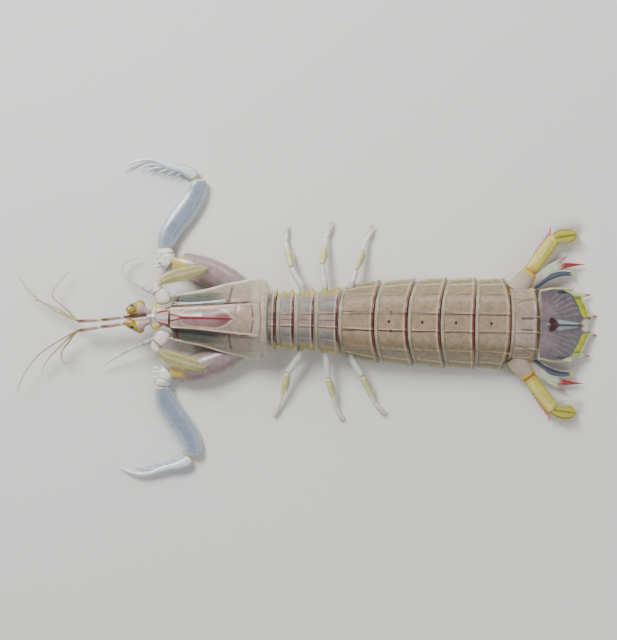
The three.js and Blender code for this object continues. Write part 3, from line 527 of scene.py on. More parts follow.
def paint_abdomen(number):
    """Khaki pink rings with red carinae and hind margins. The marks differ from ring to ring."""

    def paint(front, hind, u, y, plate):
        side = np.abs(y)
        made = Paint(u, "AA9B80", 0.5)
        made.over("B8A38E", stripe(y, 4.0, 4.5) * 0.6)
        made.over("9C9168", ramp(np.abs(u), 0.6, 0.82) * 0.55)
        made.over("8C8560", stripe(np.abs(u) - 0.9, 0.02, 0.03) * 0.6)
        made.over("CDC470", ramp(np.abs(u), 0.945, 0.98) * 0.85)
        made.over("BDB5A2", (1 - plate) * 0.7)
        # Painted shade: a dark line in the corner at the foot of the step up to the plate
        made.over("4E3A34", stripe(front - FRONT_BAND, 0.07, 0.12) * fall(side, 7, 10) * 0.6)
        made.over("CFC4A6", stripe(np.abs(u) - 0.86, 0.01, 0.02) * plate * 0.8)
        made.over("5A4A3A", stripe(side - 9.4, 0.05, 0.1) * plate * 0.55)
        made.over("5A2A24", stripe(side - 2.9, 0.11, 0.14) * plate * 0.9)
        made.over("7A6E3A", stripe(hind - 0.45, 0.24, 0.22) * ramp(side, 6.5, 9) * 0.7)
        red = 0.55 if number > 4 else 1
        made.over("7E2426", stripe(hind - 0.45, 0.2, 0.22) * fall(side, 7, 9.5) * red)
        made.over("DCD2B6", stripe(hind - 1.1, 0.2, 0.25) * 0.55)
        made.over("C98C3C", stripe(np.hypot(hind - 0.5, side - 11), 0.3, 0.8) * 0.45)
        grain = np.sin(side * 2.6 + np.sin(front * 1.7)) * np.sin(front * 1.9 + side)
        made.over("8E7A6C", ramp(grain, 0.1, 0.9) * plate * ramp(side, 3, 4) * 0.3)
        if 2 <= number <= 5:
            middle = (front + hind) * 0.45
            made.over("4E1216", stripe(np.hypot(front - middle, y), 0.34, 0.25))
        if number == 2:
            made.over("5A1A18", stripe(np.hypot(front - hind, side - 2.9), 0.4, 0.35))
        if number == 6:
            made.over("BDB2A6", plate * 0.5)
            made.over("4A3030", stripe(side - 1.8, 0.13, 0.13) * stripe(hind - 3.2, 1.7, 0.6))
            made.over("8A7A4E", stripe(side - 7.4 - (front - 4) * 0.3, 0.1, 0.2) * plate * 0.8)
            made.over("C9BE62", ramp(np.abs(u), 0.88, 0.97) * 0.8)
        return made.speckled(0.1, 1 - plate)

    return paint


def corner_spines(x, drop, shares):
    """Hind spines at the ends of the carinae."""
    made = []
    for share in shares:
        y = share * float(half_width_of(x - 1))
        z = float(top_of(x)) - drop * share**ARCH
        reach = float(swept(x, y)) - GAP
        tip = tipped("CFC698", "D8B860", 0.4)
        thorn = spine((reach - 1.6, y, z + 0.15), (reach + 0.9, y, z + 0.4), 0.3, tip)
        made += thorn.paired()
    return made


def side_lobes(start, end, both):
    """The side lobes of a free thoracic ring."""
    out = float(half_width_of((start + end) / 2))
    made = []
    for share, reach in ((0.3, 0.9), (0.72, 1.5))[0 if both else 1 :]:
        x = start + (end - start) * share
        root = (float(swept(x, out)) - 0.8, out - 2.6, 9)
        tip = (float(swept(x, out)) + 0.9, out + reach, 7.6)
        thorn = spine(root, tip, 1.3, tipped("B7AC74", "D2C766", 0.2), flat=0.6, sides=16, steps=20)
        made += thorn.paired()
    return made


# Tail plate
TELSON_WIDTH = 12
TELSON_HINGE = np.array([TELSON_ROOT + GAP + 0.5, 0, 9.9])
# Length of the plate at each share of its half width
margin_of = profile(
    (0, 17.9), (0.06, 18.2), (0.142, 19.3), (0.2, 19.6), (0.27, 18.7), (0.5, 17.5), (0.72, 16), (0.84, 14.9),
    (0.885, 13.4), (0.93, 12.4), (1, 11.9),
)
heart_half = profile((2.1, 0.9), (2.5, 1.8), (3.3, 2.2), (4.4, 1.8), (5.4, 0.9), (6.5, 0.05))
# Root, tip and root radius of each pair of teeth
TELSON_TEETH = (
    ((15.8, 3.0, 0.1), (22.3, 3.1, 0.5), 1.25),
    ((11.4, 9.4, 0), (19.8, 10, 0.4), 1.25),
    ((8.5, 10.8, 0), (13, 11.7, 0.2), 0.8),
)


def tilted(points):
    """Hangs the level tail plate down from its hinge."""
    a = math.radians(TELSON_SLOPE)
    x, y, z = points.T
    level = [x * math.cos(a) + z * math.sin(a), y, z * math.cos(a) - x * math.sin(a)]
    return np.stack(level, 1) + TELSON_HINGE


def paint_telson(x, y, across, pitted):
    """Mauve grey with rows of pale pits, a heart-shaped mark, a green keel and a yellow hind border."""
    side = np.abs(y)
    depth = margin_of(across) - x
    made = Paint(x, "867F83", 0.2)
    made.over("9C8E92", fall(x, 1, 9) * (1 + stripe(side - 5, 1.5, 2.5)) * 0.5)
    made.over("756C78", ramp(side, 6, 9) * 0.5)
    made.over("BCB2B4", pitted * 0.85)
    strip = 1.9 - 0.12 * (x - 6)
    made.over("B6C4CC", fall(side, strip - 0.3, strip) * ramp(x, 4.8, 6.6) * fall(x, 13.5, 15) * 0.9)
    made.over("3E5A3C", stripe(y, 0.26, 0.14) * ramp(x, 5.8, 6.4))
    red = fall(side, heart_half(x), heart_half(x) + 0.3) * ramp(x, 2.2, 2.6) * fall(x, 6.3, 6.7)
    made.over("5E1218", red)
    made.over("867F83", fall(np.hypot(x - 2.2, y), 0.25, 0.5))
    made.over("2A0C10", stripe(y, 0.14, 0.16) * stripe(x - 3.6, 0.8, 0.6) * 0.8)
    made.over("2F5E44", stripe(side - 10.5, 0.28, 0.18) * ramp(x, 6, 6.8) * fall(x, 11, 11.6))
    band = fall(depth, 3.3, 3.7) * ramp(side, 2.2, 3) * fall(side, 9.2, 9.8)
    made.over("C6C24A", band)
    made.over("4E8050", stripe(depth - 3.6, 0.16, 0.3) * ramp(side, 2.4, 3) * fall(side, 9.6, 10) * 0.7)
    lines = stripe(side - 8.7, 0.14, 0.2) * 0.8 + stripe(depth - 1.3, 0.08, 0.2) * 0.5
    made.over("5E8A4A", lines * band)
    made.over("DCD8B4", ramp(side, 9.2, 9.8) * fall(depth, 3, 4) * 0.9)
    made.over("E2DCCB", fall(np.hypot(x - 17.2, y), 1.5, 2.6) * 0.9)
    made.over("C8823A", fall(np.hypot(x - 15.6, y), 0.4, 0.9) * 0.8)
    made.over("CFCDA8", ramp(across, 0.945, 0.965))
    return made.over("F0EDE0", fall(depth, 0.35, 0.6) * fall(side, 8.7, 9.2))


def telson_shapes():
    """The tail plate, domed and keeled, drawn level and then tilted."""
    t = np.linspace(0, 1, 130)[:, None]
    even = np.linspace(-1, 1, 181)[None]
    u = np.sin(even * math.pi / 2) * 0.35 + even * 0.65
    across = np.abs(u) + 0 * t
    half = TELSON_WIDTH * (0.92 + 0.08 * ramp(t, -0.1, 0.42))
    x = t * margin_of(across)
    y = u * half
    dome = (1.5 - 0.8 * t) * (1 - across**2.2)
    ridge = 0.85 * swell(y, 0.42) * ramp(t, 0.04, 0.12) * fall(t, 0.8, 0.97)
    rim = 0.3 * swell((1 - across) * half - 0.5, 0.3) * ramp(t, 0.1, 0.3)
    fold = 0.35 * swell(np.abs(y) - 3, 0.5) * ramp(t, 0.8, 0.95)
    fold += 0.35 * swell(np.abs(y) - 9.6, 0.5) * ramp(t, 0.6, 0.8)
    outward = np.hypot(x - 2, y)
    bearing = np.arctan2(y, x + 9)
    rows_of_pits = 0.5 + 0.5 * np.cos(bearing * 76 + 0.5 * np.sin(outward))
    dots = rows_of_pits**5 * (0.5 + 0.5 * np.cos(outward * 8.4)) ** 1.5 * ramp(np.abs(y), 2.2, 3.4)
    depth = margin_of(across) - x
    pitted = dots * ramp(x, 2, 5) * fall(across, 0.84, 0.9) * ramp(depth, 3.5, 4.2)
    edge = 0.35 * ramp(t, 0.985, 1) + 0.3 * ramp(across, 0.985, 1)
    upper = spread(x, y, 0.55 + dome + ridge + rim + fold - 0.1 * pitted - edge)
    under = spread(x, y, -0.45 - dome * 0.6 + edge)
    plate = plated(upper, under, paint_telson(x, y, across, pitted), Paint(upper, "CFC6B2"))
    shapes = [plate]
    for root, tip, radius in TELSON_TEETH:
        tooth = spine(root, tip, radius, tipped("D5DCC8", "B02E30", 0.5), flat=0.62, sides=20, steps=30)
        shapes += tooth.paired()
    shapes += denticles()
    return [shape.moved(tilted) for shape in shapes]


def denticles():
    """Small blunt points on the hind margin, between the teeth."""
    made = []
    pale = tipped("E9E5D2", "F6F3E8", 0.2)
    for first, last, count in ((0.03, 0.13, 3), (0.3, 0.72, 10), (0.955, 0.985, 2)):
        for share in np.linspace(first, last, count):
            x = float(margin_of(share))
            y = share * TELSON_WIDTH
            made += spine((x - 0.9, y, 0.25), (x + 0.5, y + 0.05, 0.4), 0.32, pale).paired()
    return made


# Carapace
carapace_top = profile((-43, 14.9), (-38, 16.5), (-32, 17.8), (-20, 18), (-12.3, 17.2))
carapace_half = profile(
    (-43, 7.2), (-38, 8), (-32, 9.2), (-26, 10.9), (-20, 12.3), (-15.5, 13.2), (-12.3, 12.4),
)
carapace_edge = profile((-43, 10.6), (-38, 9.4), (-27, 9), (-20, 6.6), (-15.5, 5.4), (-12.3, 7))
carapace_round = profile((-43, 1.6), (-30, 1.8), (-18, 2.6), (-12.3, 2.7))
# Half width of the rose field on the carapace, which runs out to nothing behind
field_half = profile(
    (-40, 0.2), (-39, 1.6), (-37.5, 2.4), (-32, 2.9), (-28, 3.1), (-25.4, 2.3), (-22.6, 0.05), (-21, -1),
)
carina_of = profile((-43, 3.3), (-36, 3.6), (-28, 4.3), (-18, 5.2), (-13, 5.5))


def carapace_shapes(ridge_height):
    """The shield over the thorax, with carinae, grooves and rims, and a spine at each front corner."""
    x = np.linspace(CARAPACE_FRONT, CARAPACE_REAR, 150)[:, None]
    fine = np.linspace(-1, 1, 201)[None]
    u = np.sign(fine) * (1 - (1 - np.abs(fine)) ** 1.35)
    half = carapace_half(x)
    drop = carapace_top(x) - carapace_edge(x)
    power = carapace_round(x)
    z = carapace_top(x) - drop * np.abs(u) ** power
    slope = -drop * power * np.abs(u) ** (power - 1) * np.sign(u) / half
    normal = unit(spread(np.zeros_like(z), -slope, np.ones_like(z)))
    y = u * half
    side = np.abs(y)
    carina = carina_of(x)
    relief = ridge_height * swell(side - carina, 0.3) * ramp(x, -43, -42) * fall(x, -16, -14)
    middle = ramp(x, -39.5, -38) * fall(x, -24, -22)
    relief += 0.4 * swell(y, 0.25) * middle
    fork = 0.9 * ramp(-x, 38, 43)
    relief += 0.3 * swell(side - fork, 0.25) * fall(x, -38.5, -37)
    relief -= 0.5 * swell(side - carina - 0.9, 0.5) * fall(x, -19, -14)
    groove = x + 24.5 - 0.16 * (side - 4)
    relief -= 0.35 * swell(groove, 0.45) * ramp(side, 4.5, 6) * fall(np.abs(u), 0.8, 0.95)
    relief -= 0.25 * swell(x + 21.8 - 0.05 * side, 0.4) * fall(side, 3.5, 5)
    relief += 0.35 * swell((np.abs(u) - 0.83) * half, 0.35) * ramp(x, -42, -40) * fall(x, -20, -16)
    relief += 0.4 * swell((1 - np.abs(u)) * half - 0.25, 0.25)
    relief += 0.3 * swell(x + 13.4, 0.3) - 0.25 * swell(x + 14.2, 0.4)
    relief += 0.3 * swell(x + 42.7, 0.25) * ramp(side, 2, 4)
    relief -= 0.4 * ramp(-x, 42.8, 43) + 0.4 * ramp(x, -12.5, -12.3)
    shift = 0.9 * np.abs(u) ** 4 * ramp(-x, 38, 43)
    tail = ramp(x, -17, -12.3)
    shift = shift + tail * (0.7 * u**2 - np.maximum(np.abs(u) - 0.9, 0) * 12)
    base = spread(x + shift, y, z)
    upper = base + normal * relief[..., None]
    under = base - normal * 0.85
    made = Paint(upper, "B0A294", 0.3)
    field = fall(side, carina - 0.5, carina + 0.1)
    inside = field_half(x) - side
    made.over("BFAAA0", field * 0.8)
    made.over("DDD2BC", field * ramp(inside, -0.5, -0.2) * 0.9)
    made.over("B8979A", ramp(inside, 0, 0.3) * 0.95)
    made.over("8E5C58", ramp(inside, 0.1, 1.2) * ramp(x, -31, -24.5) * 0.8)
    made.speckled(0.75, ramp(inside, 0, 0.3))
    glassy = ramp(side, carina + 0.2, carina + 0.6) * fall(side, carina + 3.2, carina + 4.4)
    glassy = glassy * fall(x, -32, -22) * ramp(x, -43, -41.6)
    made.over("5A645A", glassy * 0.9)
    # Painted shade: a darker band in the groove beside each carina
    made.over("3E4A46", glassy * stripe(side - carina - 1.0, 0.5, 0.8) * 0.6)
    made.over("8E9A90", glassy * (0.5 + 0.5 * np.sin(side * 9 + 0.5 * np.sin(x * 1.3))) * 0.35)
    made.over("6A1E20", stripe(x + 41.4 - 0.1 * side, 0.2, 0.3) * ramp(side, carina, carina + 0.5) * glassy)
    made.over("C3B8A6", ramp(np.abs(u), 0.86, 0.95) * 0.7)
    made.over("C6C2B0", ramp(x, -18.4, -15.2) * 0.7)
    made.over("D2BDB4", ramp(-x, 39, 41.5) * fall(side, 2.4, 3.4) * 0.8)
    made.over("DDD0BC", stripe(side - carina + 0.4, 0.22, 0.25) * fall(x, -18, -15) * 0.8)
    made.over("6E1C1E", stripe(side - carina, 0.15, 0.16) * fall(x, -19, -16))
    made.over("A8141C", stripe(y, 0.2, 0.16) * middle)
    made.over("94201F", stripe(side - fork, 0.12, 0.15) * fall(x, -38.5, -37) * 0.9)
    made.over("A8684A", stripe(x + 14.1 + 0.02 * y**2, 0.08, 0.2) * fall(side, 4.6, 5.6) * 0.9)
    made.over("B9B48E", stripe(x + 19.4 + 0.06 * y**2, 0.3, 0.8) * fall(side, 5, 7) * 0.5)
    made.over("7A2A22", stripe(x + 16.6 + 0.03 * y**2, 0.1, 0.2) * stripe(side - 2.4, 1.6, 0.6) * 0.7)
    # Painted shade: a dark line along the cervical groove, where shade falls in the groove
    made.over("5E4A40", stripe(groove, 0.16, 0.35) * ramp(side, 4.5, 6) * fall(np.abs(u), 0.8, 0.95) * 0.6)
    made.over("E2DCCC", stripe((1 - np.abs(u)) * half - 0.25, 0.22, 0.2) * 0.8)
    shell = plated(upper, under, made, Paint(upper, "D9D0BC"))
    corner = spine((-42.2, 6.6, 11.6), (-44.2, 7.0, 11.4), 0.4, tipped("CFC6B0", "B07A5A", 0.4))
    return [shell, *corner.paired()]


CORE_FRONT = -46
COVER = 1.65  # thickness of the carapace with the clearance under it
BELLY_FOLDS = 2.1  # radians of the belly's folds in each millimetre
core_half = profile((-46, 2.4), (-43, 3.6), (-36, 6.6), (-26, 7.6), (-12.6, 8.3))
core_belly = profile((-46, 7.6), (-43, 5.4), (-38, 4.2), (-28, 3.9), (-12.6, 3.9))


def core_shapes():
    """The soft body under the carapace, with the lip in front of the mouth."""
    x = np.linspace(CORE_FRONT, CARAPACE_REAR - GAP, 90)[:, None]
    u = np.linspace(-1, 1, 61)[None]
    half = core_half(x)
    y = u * half
    reach = np.maximum(x, CARAPACE_FRONT)
    across = np.abs(y) / carapace_half(reach)
    drop = carapace_top(reach) - carapace_edge(reach)
    shell = carapace_top(reach) - drop * across ** carapace_round(reach)
    roof = np.minimum(shell - COVER, 15.6) - 1.4 * fall(x, -43.6, -42.4) - 3.5 * ramp(np.abs(u), 0.8, 1)
    floor = core_belly(x) + 2.6 * u**4 + 0.15 * np.cos(x * BELLY_FOLDS) * (1 - u**2)
    upper = spread(x, y, np.maximum(roof, floor + 0.8))
    under = spread(x, y, floor)
    flesh = Paint(upper, "CDBFA8", 0.1)
    folds = stripe(np.cos(x * BELLY_FOLDS) + 1, 0.2, 0.3) * np.ones_like(u)
    belly = Paint(upper, "D9CDB6").over("B9A68E", folds)
    lip = limb(
        [(-43.5, 0, 5.6), (-41, 0, 3.9), (-37.5, 0, 3.9), (-35.5, 0, 5)],
        [(1, 0.8), (2, 1.6), (2.2, 1.6), (1.2, 0.8)],
        plain("D2C4AC"),
        domed=(1, 1),
    )
    return [plated(upper, under, flesh, belly), lip]


HEAD_FRONT = -50.6
HEAD_REAR = -43.6
head_half = profile((-50.6, 1.7), (-49.4, 2.5), (-48.4, 4.3), (-47.2, 3.9), (-45.4, 2.8), (-43.6, 2.3))


def head_shapes():
    """The plate that carries the eyes and antennules, with a pointed wing on each side."""
    x = np.linspace(HEAD_FRONT, HEAD_REAR, 60)[:, None]
    u = np.linspace(-1, 1, 41)[None]
    half = head_half(x)
    rise = (x - HEAD_FRONT) / (HEAD_REAR - HEAD_FRONT)
    y = u * half
    top = 12 + 1.1 * rise - 1.1 * u**2
    top = top + 0.25 * swell(y, 0.4) - 0.2 * swell(x + 47.4, 0.4)
    floor = 9.4 - 0.6 * rise + 1.2 * u**2
    upper = spread(x, y, np.maximum(top, floor + 0.3))
    under = spread(x, y, floor)
    made = Paint(upper, "D2BFB0", 0.15)
    made.over("C4CAD2", stripe(y, 0.5, 0.8) * 0.6)
    made.over("D6C44A", ramp(np.abs(u), 0.72, 0.88) * stripe(x + 47.9, 1.5, 0.8))
    made.over("E4D8C0", stripe(np.abs(u) - 0.62, 0.06, 0.1) * 0.7)
    made.over("9A5A40", stripe(x + 49.2, 0.12, 0.25) * fall(np.abs(u), 0.5, 0.8) * 0.5)
    return [plated(upper, under, made, Paint(upper, "CFC6B0"))]


def rostral_shapes():
    """The loose plate over the eye stalks, rounded in front, with raised side rims."""
    t = np.linspace(0, 1, 50)[:, None]
    u = np.linspace(-1, 1, 51)[None]
    half = 2.45 - 0.85 * (1 - t) ** 1.2 - 1.0 * fall(t, 0, 0.16) ** 2
    x = -47.85 + 4.3 * t + 0.5 * u**2 * fall(t, 0, 0.3)
    rim = 0.28 * swell((1 - np.abs(u)) * half - 0.3, 0.22)
    top = 14 + 0.8 * t - 0.3 * u**2
    upper = spread(x, u * half, top + rim)
    under = spread(x, u * half, top - 0.75)
    made = Paint(upper, "CFA9A4", 0.25)
    made.over("C6D2DC", stripe(u * half, 0.4, 0.5) * 0.85)
    made.over("9E2A2C", stripe((1 - np.abs(u)) * half - 0.28, 0.16, 0.18) * ramp(t, 0.05, 0.2))
    return [plated(upper, under, made, Paint(upper, "D0C0B4"))]


# Eyes
CORNEA_CENTRE = np.array([-54.4, 3, 11.2])
CORNEA_AXIS = np.array([-2.2, -1.25, 1.75])


def eye_shapes():
    """A cornea of two lobes with a band between them, set askew on a flared stalk."""
    places = (-1.25, -1.1, -0.7, -0.2, 0, 0.2, 0.65, 1.05, 1.22)
    lobes = (0.2, 1.0, 1.52, 1.54, 1.46, 1.54, 1.52, 1.0, 0.2)

    def cornea_paint(t, angle, rings):
        made = Paint(rings, "BFA238")
        made.over("DCC24E", 0.5 + 0.5 * np.sin(angle * 3 + t * 5))
        made.over("9A8A34", stripe(t - 0.27, 0.1, 0.1) * 0.5 + stripe(t - 0.75, 0.1, 0.1) * 0.5)
        for line in (-0.035, 0.0, 0.035):
            made.over("5E4E26", stripe(t - 0.5 - line, 0.005, 0.01))
        from_spot = np.hypot((t - 0.7) * 6, 0.9 * np.sin((angle - 2.4) / 2))
        return made.over("2A1C12", stripe(from_spot, 0.22, 0.2))

    def stalk_paint(t, angle, rings):
        return Paint(rings, "C6B2AC", 0.2).over("D8C85A", ramp(t, 0.7, 0.95) * 0.6)

    line = [CORNEA_CENTRE + CORNEA_AXIS * place for place in places]
    cornea = limb(line, even(*lobes), cornea_paint, 48, 80, domed=(0.9, 0.9))
    stalk = limb(
        [(-49.6, 1.4, 11.2), (-51.2, 2, 11.2), (-52.6, 2.5, 11.2), (-53.8, 2.85, 11.2)],
        [(0.8, 1), (1.15, 1.25), (1.9, 1.55), (2, 1.5)],
        stalk_paint,
        32,
        40,
    )
    return [cornea], [stalk]


# Feelers. Each antennule is a stalk of three joints and three whips, each antenna one line.
ANTENNULES = {
    "right": (
        [(-49, 0.95, 9.6), (-58.2, -0.1, 9.1), (-65.5, -1.2, 8.4), (-73.2, -1.7, 7.6)],
        (
            [(-78, 0.2, 7.4), (-85.6, 4.6, 7), (-90.3, 9, 6.4), (-92.9, 13, 5.8)],
            [(-76.5, 1.6, 6.8), (-81.8, 6.4, 5.8), (-80.8, 9, 5.2), (-76.5, 14.2, 4.4)],
            [(-77, 0.4, 6.4), (-82, 3, 5.2), (-86, 4.4, 4.2), (-89, 4.8, 3.4)],
        ),
    ),
    "left": (
        [(-49, -0.95, 9.6), (-58.2, -2.3, 9.1), (-65.5, -3.4, 8.4), (-73.2, -4.8, 7.6)],
        (
            [(-78, -7.6, 7.4), (-85.6, -13, 7), (-90.3, -19.5, 6.2), (-92.7, -25.5, 5.4)],
            [(-76.5, -7.8, 6.8), (-80.5, -11.8, 5.8), (-83, -14.6, 5), (-84.8, -18.2, 4.2)],
            [(-75.6, -8, 6.4), (-78.4, -12.2, 5.2), (-77.6, -15.4, 4.4), (-73.4, -14.6, 3.8)],
        ),
    ),
}
WHIP_RINGS = 0.62  # length of one ring of a whip


def whip(points, sizes, code, tip):
    """A whip of many short rings, each a little wider at its far end."""
    length = np.linalg.norm(np.diff(curve(points, np.linspace(0, 1, 60)), axis=0), axis=1).sum()
    count = int(length / WHIP_RINGS)

    def relief(t, angle):
        place = (t * count) % 1
        return 0.86 + 0.2 * place**2 + 0 * angle

    def paint(t, angle, rings):
        place = (t * count) % 1
        made = Paint(rings, code).over(tip, ramp(t, 0.35, 1))
        return made.over("6E5A3A", (place > 0.82) * 0.55)

    return limb(points, sizes, paint, sides=10, steps=count * 5, relief=relief)


def antennule_shapes(stalk, whips):
    """A stalk of three joints, dark along their tops, with three whips at its end."""
    made = []
    points = np.array(stalk, float)

    def joint_paint(t, angle, rings):
        made = Paint(rings, "E0DCD4", 0.1)
        from_top = angle - math.pi / 2
        made.over("B89884", stripe(from_top, 0.5, 0.35) * ramp(t, 0.08, 0.2) * fall(t, 0.8, 0.95) * 0.9)
        made.over("7A3226", stripe(from_top, 0.4, 0.3) * ramp(t, 0.5, 0.8) * 0.85)
        return made.over("8A4636", ramp(t, 0.95, 0.99) * 0.5)

    for joint in range(3):
        line = [between(points[joint], points[joint + 1], share) for share in (0.0, 0.3, 0.7, 1.0)]
        wide, high = (0.86, 0.88) if joint == 0 else (0.76, 0.7)
        sizes = [(wide * k, high * k) for k in (0.8, 0.9, 1.02, 1.0)]
        made.append(limb(line, sizes, joint_paint, 20, 46, domed=(0.5, 0.4)))
    root = between(points[3], points[2], 0.08)
    for line in whips:
        first = between(points[3], np.array(line[0]), 0.25)
        sizes = even(0.42, 0.33, 0.26, 0.16)
        made.append(whip([root, first, *line], sizes, "C2B48C", "D6CDB2"))
    return made


ANTENNA_WHIPS = {
    "right": [
        (-46.2, 6.2, 8.6), (-50.6, 8.6, 8), (-56, 11.2, 6.4),
        (-59.6, 14.6, 4.6), (-58.4, 17.6, 3.4), (-54, 19.2, 2.6),
    ],
    "left": [
        (-46.2, -6.2, 8.6), (-50.6, -7.9, 8), (-55.5, -10.3, 6.4),
        (-60.4, -13, 4.6), (-63.4, -15, 3.4), (-65.8, -16.6, 2.6),
    ],
}


def antenna_shapes(points):
    """A jointed stalk that goes over into one long whip."""

    def relief(t, angle):
        return 1 - 0.2 * stripe(t - 0.5, 0.02, 0.04) + 0 * angle

    stalk = [points[0], *curve(points, np.array([0.1, 0.2, 0.27]))]
    sizes = even(0.85, 0.8, 0.78)
    paint = tipped("C9CDD0", "B59A6A", 0.8)
    base = limb(stalk, sizes, paint, 16, 40, domed=(0.3, 0.4), relief=relief)
    sizes = even(0.6, 0.48, 0.4, 0.3, 0.2)
    return [base, whip(points, sizes, "CDD0D0", "E4E4DE")]


def antenna_base_shapes():
    """The stout base that carries an antenna and its scale."""

    def paint(t, angle, rings):
        made = Paint(rings, "DCC8C4", 0.1).over("EDE6E0", ramp(np.sin(angle), 0.2, 0.9) * 0.8)
        return made.over("A08C80", stripe(t - 0.62, 0.012, 0.02)).over("C9BE6A", ramp(t, 0.8, 0.95) * 0.6)

    return [
        limb(
            [(-44.8, 4.1, 9.4), (-45.3, 5.6, 9.6), (-46.5, 7.4, 9.7), (-47.9, 9.5, 9.8), (-46.6, 11.4, 10)],
            [(2, 1.4), (2.7, 1.8), (2.4, 1.6), (1.4, 1.1), (1.1, 0.8)],
            paint,
            28,
            60,
            domed=(1, 0.6),
        )
    ]


SCALE_LINE = [(-46.9, 11, 10.1), (-44, 12.6, 10.2), (-40, 13.8, 10), (-35.6, 15, 9.8), (-31.4, 15.9, 9.5)]
SCALE_SIZES = [(0.9, 0.4), (1.7, 0.42), (2, 0.42), (1.7, 0.4), (0.4, 0.3)]


def edge_of(line, sizes, side, count, share=1.0):
    """Places and outward directions along one edge of a flat limb."""
    t = np.linspace(0.04, 1, count)
    centre = curve(line, t)
    along = unit(np.gradient(centre, axis=0))
    across = unit(np.cross(UP, along)) * side
    stations = np.array(sizes, float)[:, 0]
    half = profile(*zip(range(len(stations)), stations))(t * (len(stations) - 1))
    return centre + across * half[:, None] * share, unit(across + along * 0.75), t


def fringe(line, sizes, length, seed, sides=(1, -1), count=70, start=0.0, code=BRISTLE, radius=0.055):
    """Bristles along the edges of a flat limb, longest towards its tip."""
    made = []
    for side in sides:
        roots, outward, t = edge_of(line, sizes, side, count)
        shown = t >= start
        lengths = length * (0.45 + 0.55 * ramp(t, start, 0.9))
        made.append(bristles(roots[shown], outward[shown], lengths[shown], seed + side, code, radius))
    return made


def scale_shapes():
    """An antennal scale, a leaf with a yellow border and a fringe."""

    def paint(t, angle, rings):
        made = Paint(rings, "BDB68C", 0.1).over("D2CDB4", stripe(np.cos(angle), 0.06, 0.12) * 0.7)
        made.over("A2A074", stripe(np.abs(np.cos(angle)) - 0.5, 0.1, 0.25) * 0.5)
        return made.over("D6CE40", ramp(np.abs(np.cos(angle)), 0.87, 0.94))

    blade = limb(SCALE_LINE, SCALE_SIZES, paint, 32, 60, domed=(0.5, 1.5))
    return [blade, *fringe(SCALE_LINE, SCALE_SIZES, 2.4, 11, count=110, start=0.1, radius=0.035)]


# Claws. Stations along the arm, hand and finger: place, half width and half height
ARM = (
    ((-17.2, 7.4, 6.2), 2.4, 2.4), ((-21, 9.8, 5), 3.6, 3.4), ((-26, 12.4, 4.2), 4.5, 4.2),
    ((-31, 14.6, 4.1), 4.6, 4.2), ((-36, 16.5, 3.9), 4.1, 4), ((-40.4, 17.5, 3.5), 3.4, 3.4),
    ((-43.7, 17.6, 3.4), 2.6, 2.4),
)
HAND = (
    ((-46.1, 22, 3), 2.5, 1.7), ((-45.9, 24, 2.9), 3.1, 1.9), ((-45.2, 26.8, 2.6), 3.6, 2.1),
    ((-43.2, 30.2, 2.4), 3.8, 2.2), ((-40.9, 33.4, 2.2), 4, 2.2), ((-38.6, 36.6, 2.1), 3.9, 2.1),
    ((-36.7, 40, 2.1), 3.6, 2), ((-35.9, 43, 2.2), 3.2, 1.9), ((-36.2, 45, 2.3), 2.2, 1.5),
)
FINGER = (
    ((-36.5, 45.4, 2.3), 1.5, 1.3), ((-38, 46.8, 2.3), 2, 1.4), ((-40.4, 47.9, 2.3), 1.7, 1.3),
    ((-43, 48.4, 2.3), 1.3, 1.2), ((-46, 49.3, 2.3), 1.1, 1.1), ((-49.6, 50.6, 2.3), 0.75, 0.95),
    ((-53.4, 50.9, 2.2), 0.65, 0.8), ((-57.2, 49.8, 2.1), 0.45, 0.55), ((-60.9, 47.9, 2), 0.05, 0.05),
)
# Root, sideways bow, tip and root radius of each tooth of the finger
TEETH = (
    ((-46, 49, 2.3), 0.9, (-55.8, 47.8, 2.2), 0.8), ((-44.4, 48.5, 2.3), 0.8, (-52.7, 47, 2.2), 0.75),
    ((-43, 48, 2.3), 0.6, (-49.5, 46.3, 2.2), 0.65), ((-41.4, 47.6, 2.3), 0.45, (-46.4, 45.7, 2.2), 0.6),
    ((-40, 47, 2.3), 0.3, (-43.7, 45, 2.2), 0.5),
)
HAND_THORNS = (
    ((-47.2, 26, 2.7), (-49.9, 27.6, 2.9)),
    ((-46.2, 29, 2.5), (-48.6, 30.8, 2.7)),
    ((-44.6, 31.8, 2.4), (-46.8, 33.6, 2.6)),
)
NOTCH = (-41.6, 21.8)  # middle of the notch in the arm
NOTCH_RADIUS = 2.55


def split(stations):
    """The line and the sizes of a limb, from its stations."""
    return [row[0] for row in stations], [row[1:] for row in stations]


def arm_shapes():
    """The arm, darker along the top of its nearer part, with a notch before its outer corner."""

    def paint(t, angle, rings):
        x, y = rings[..., 0], rings[..., 1]
        made = Paint(rings, "B9A7A4", 0.4)
        made.over("C4B4A8", ramp(np.cos(angle), 0.3, 0.9) * 0.5)
        made.over("9C8C90", stripe(np.sin(angle) - 0.8, 0.2, 0.3) * fall(t, 0.6, 0.8) * 0.4)
        made.over("DDD0B8", ramp(t, 0.8, 0.95) * 0.7)
        joint = stripe(np.hypot(x + 41.4, y - 17), 1.9, 2.4)
        made.over("DDCF72", joint * ramp(np.sin(angle), -0.3, 0.3) * 0.85)
        return made.over("E3DAB4", ramp(np.abs(np.cos(angle)), 0.984, 0.996) * 0.8)

    whole = limb(*split(ARM), paint, 64, 110, domed=(0, 1.2))
    points = whole.points
    away = points[:, :2] - NOTCH
    distance = np.linalg.norm(away, axis=1)
    inside = distance < NOTCH_RADIUS
    points[inside, :2] = NOTCH + away[inside] / distance[inside, None] * NOTCH_RADIUS
    corner = spine((-36.4, 19.4, 3.6), (-39.9, 21.1, 3.2), 0.95, tipped("CFC6AE", "E6DFC9", 0.2), flat=0.9)
    return [whole, corner]


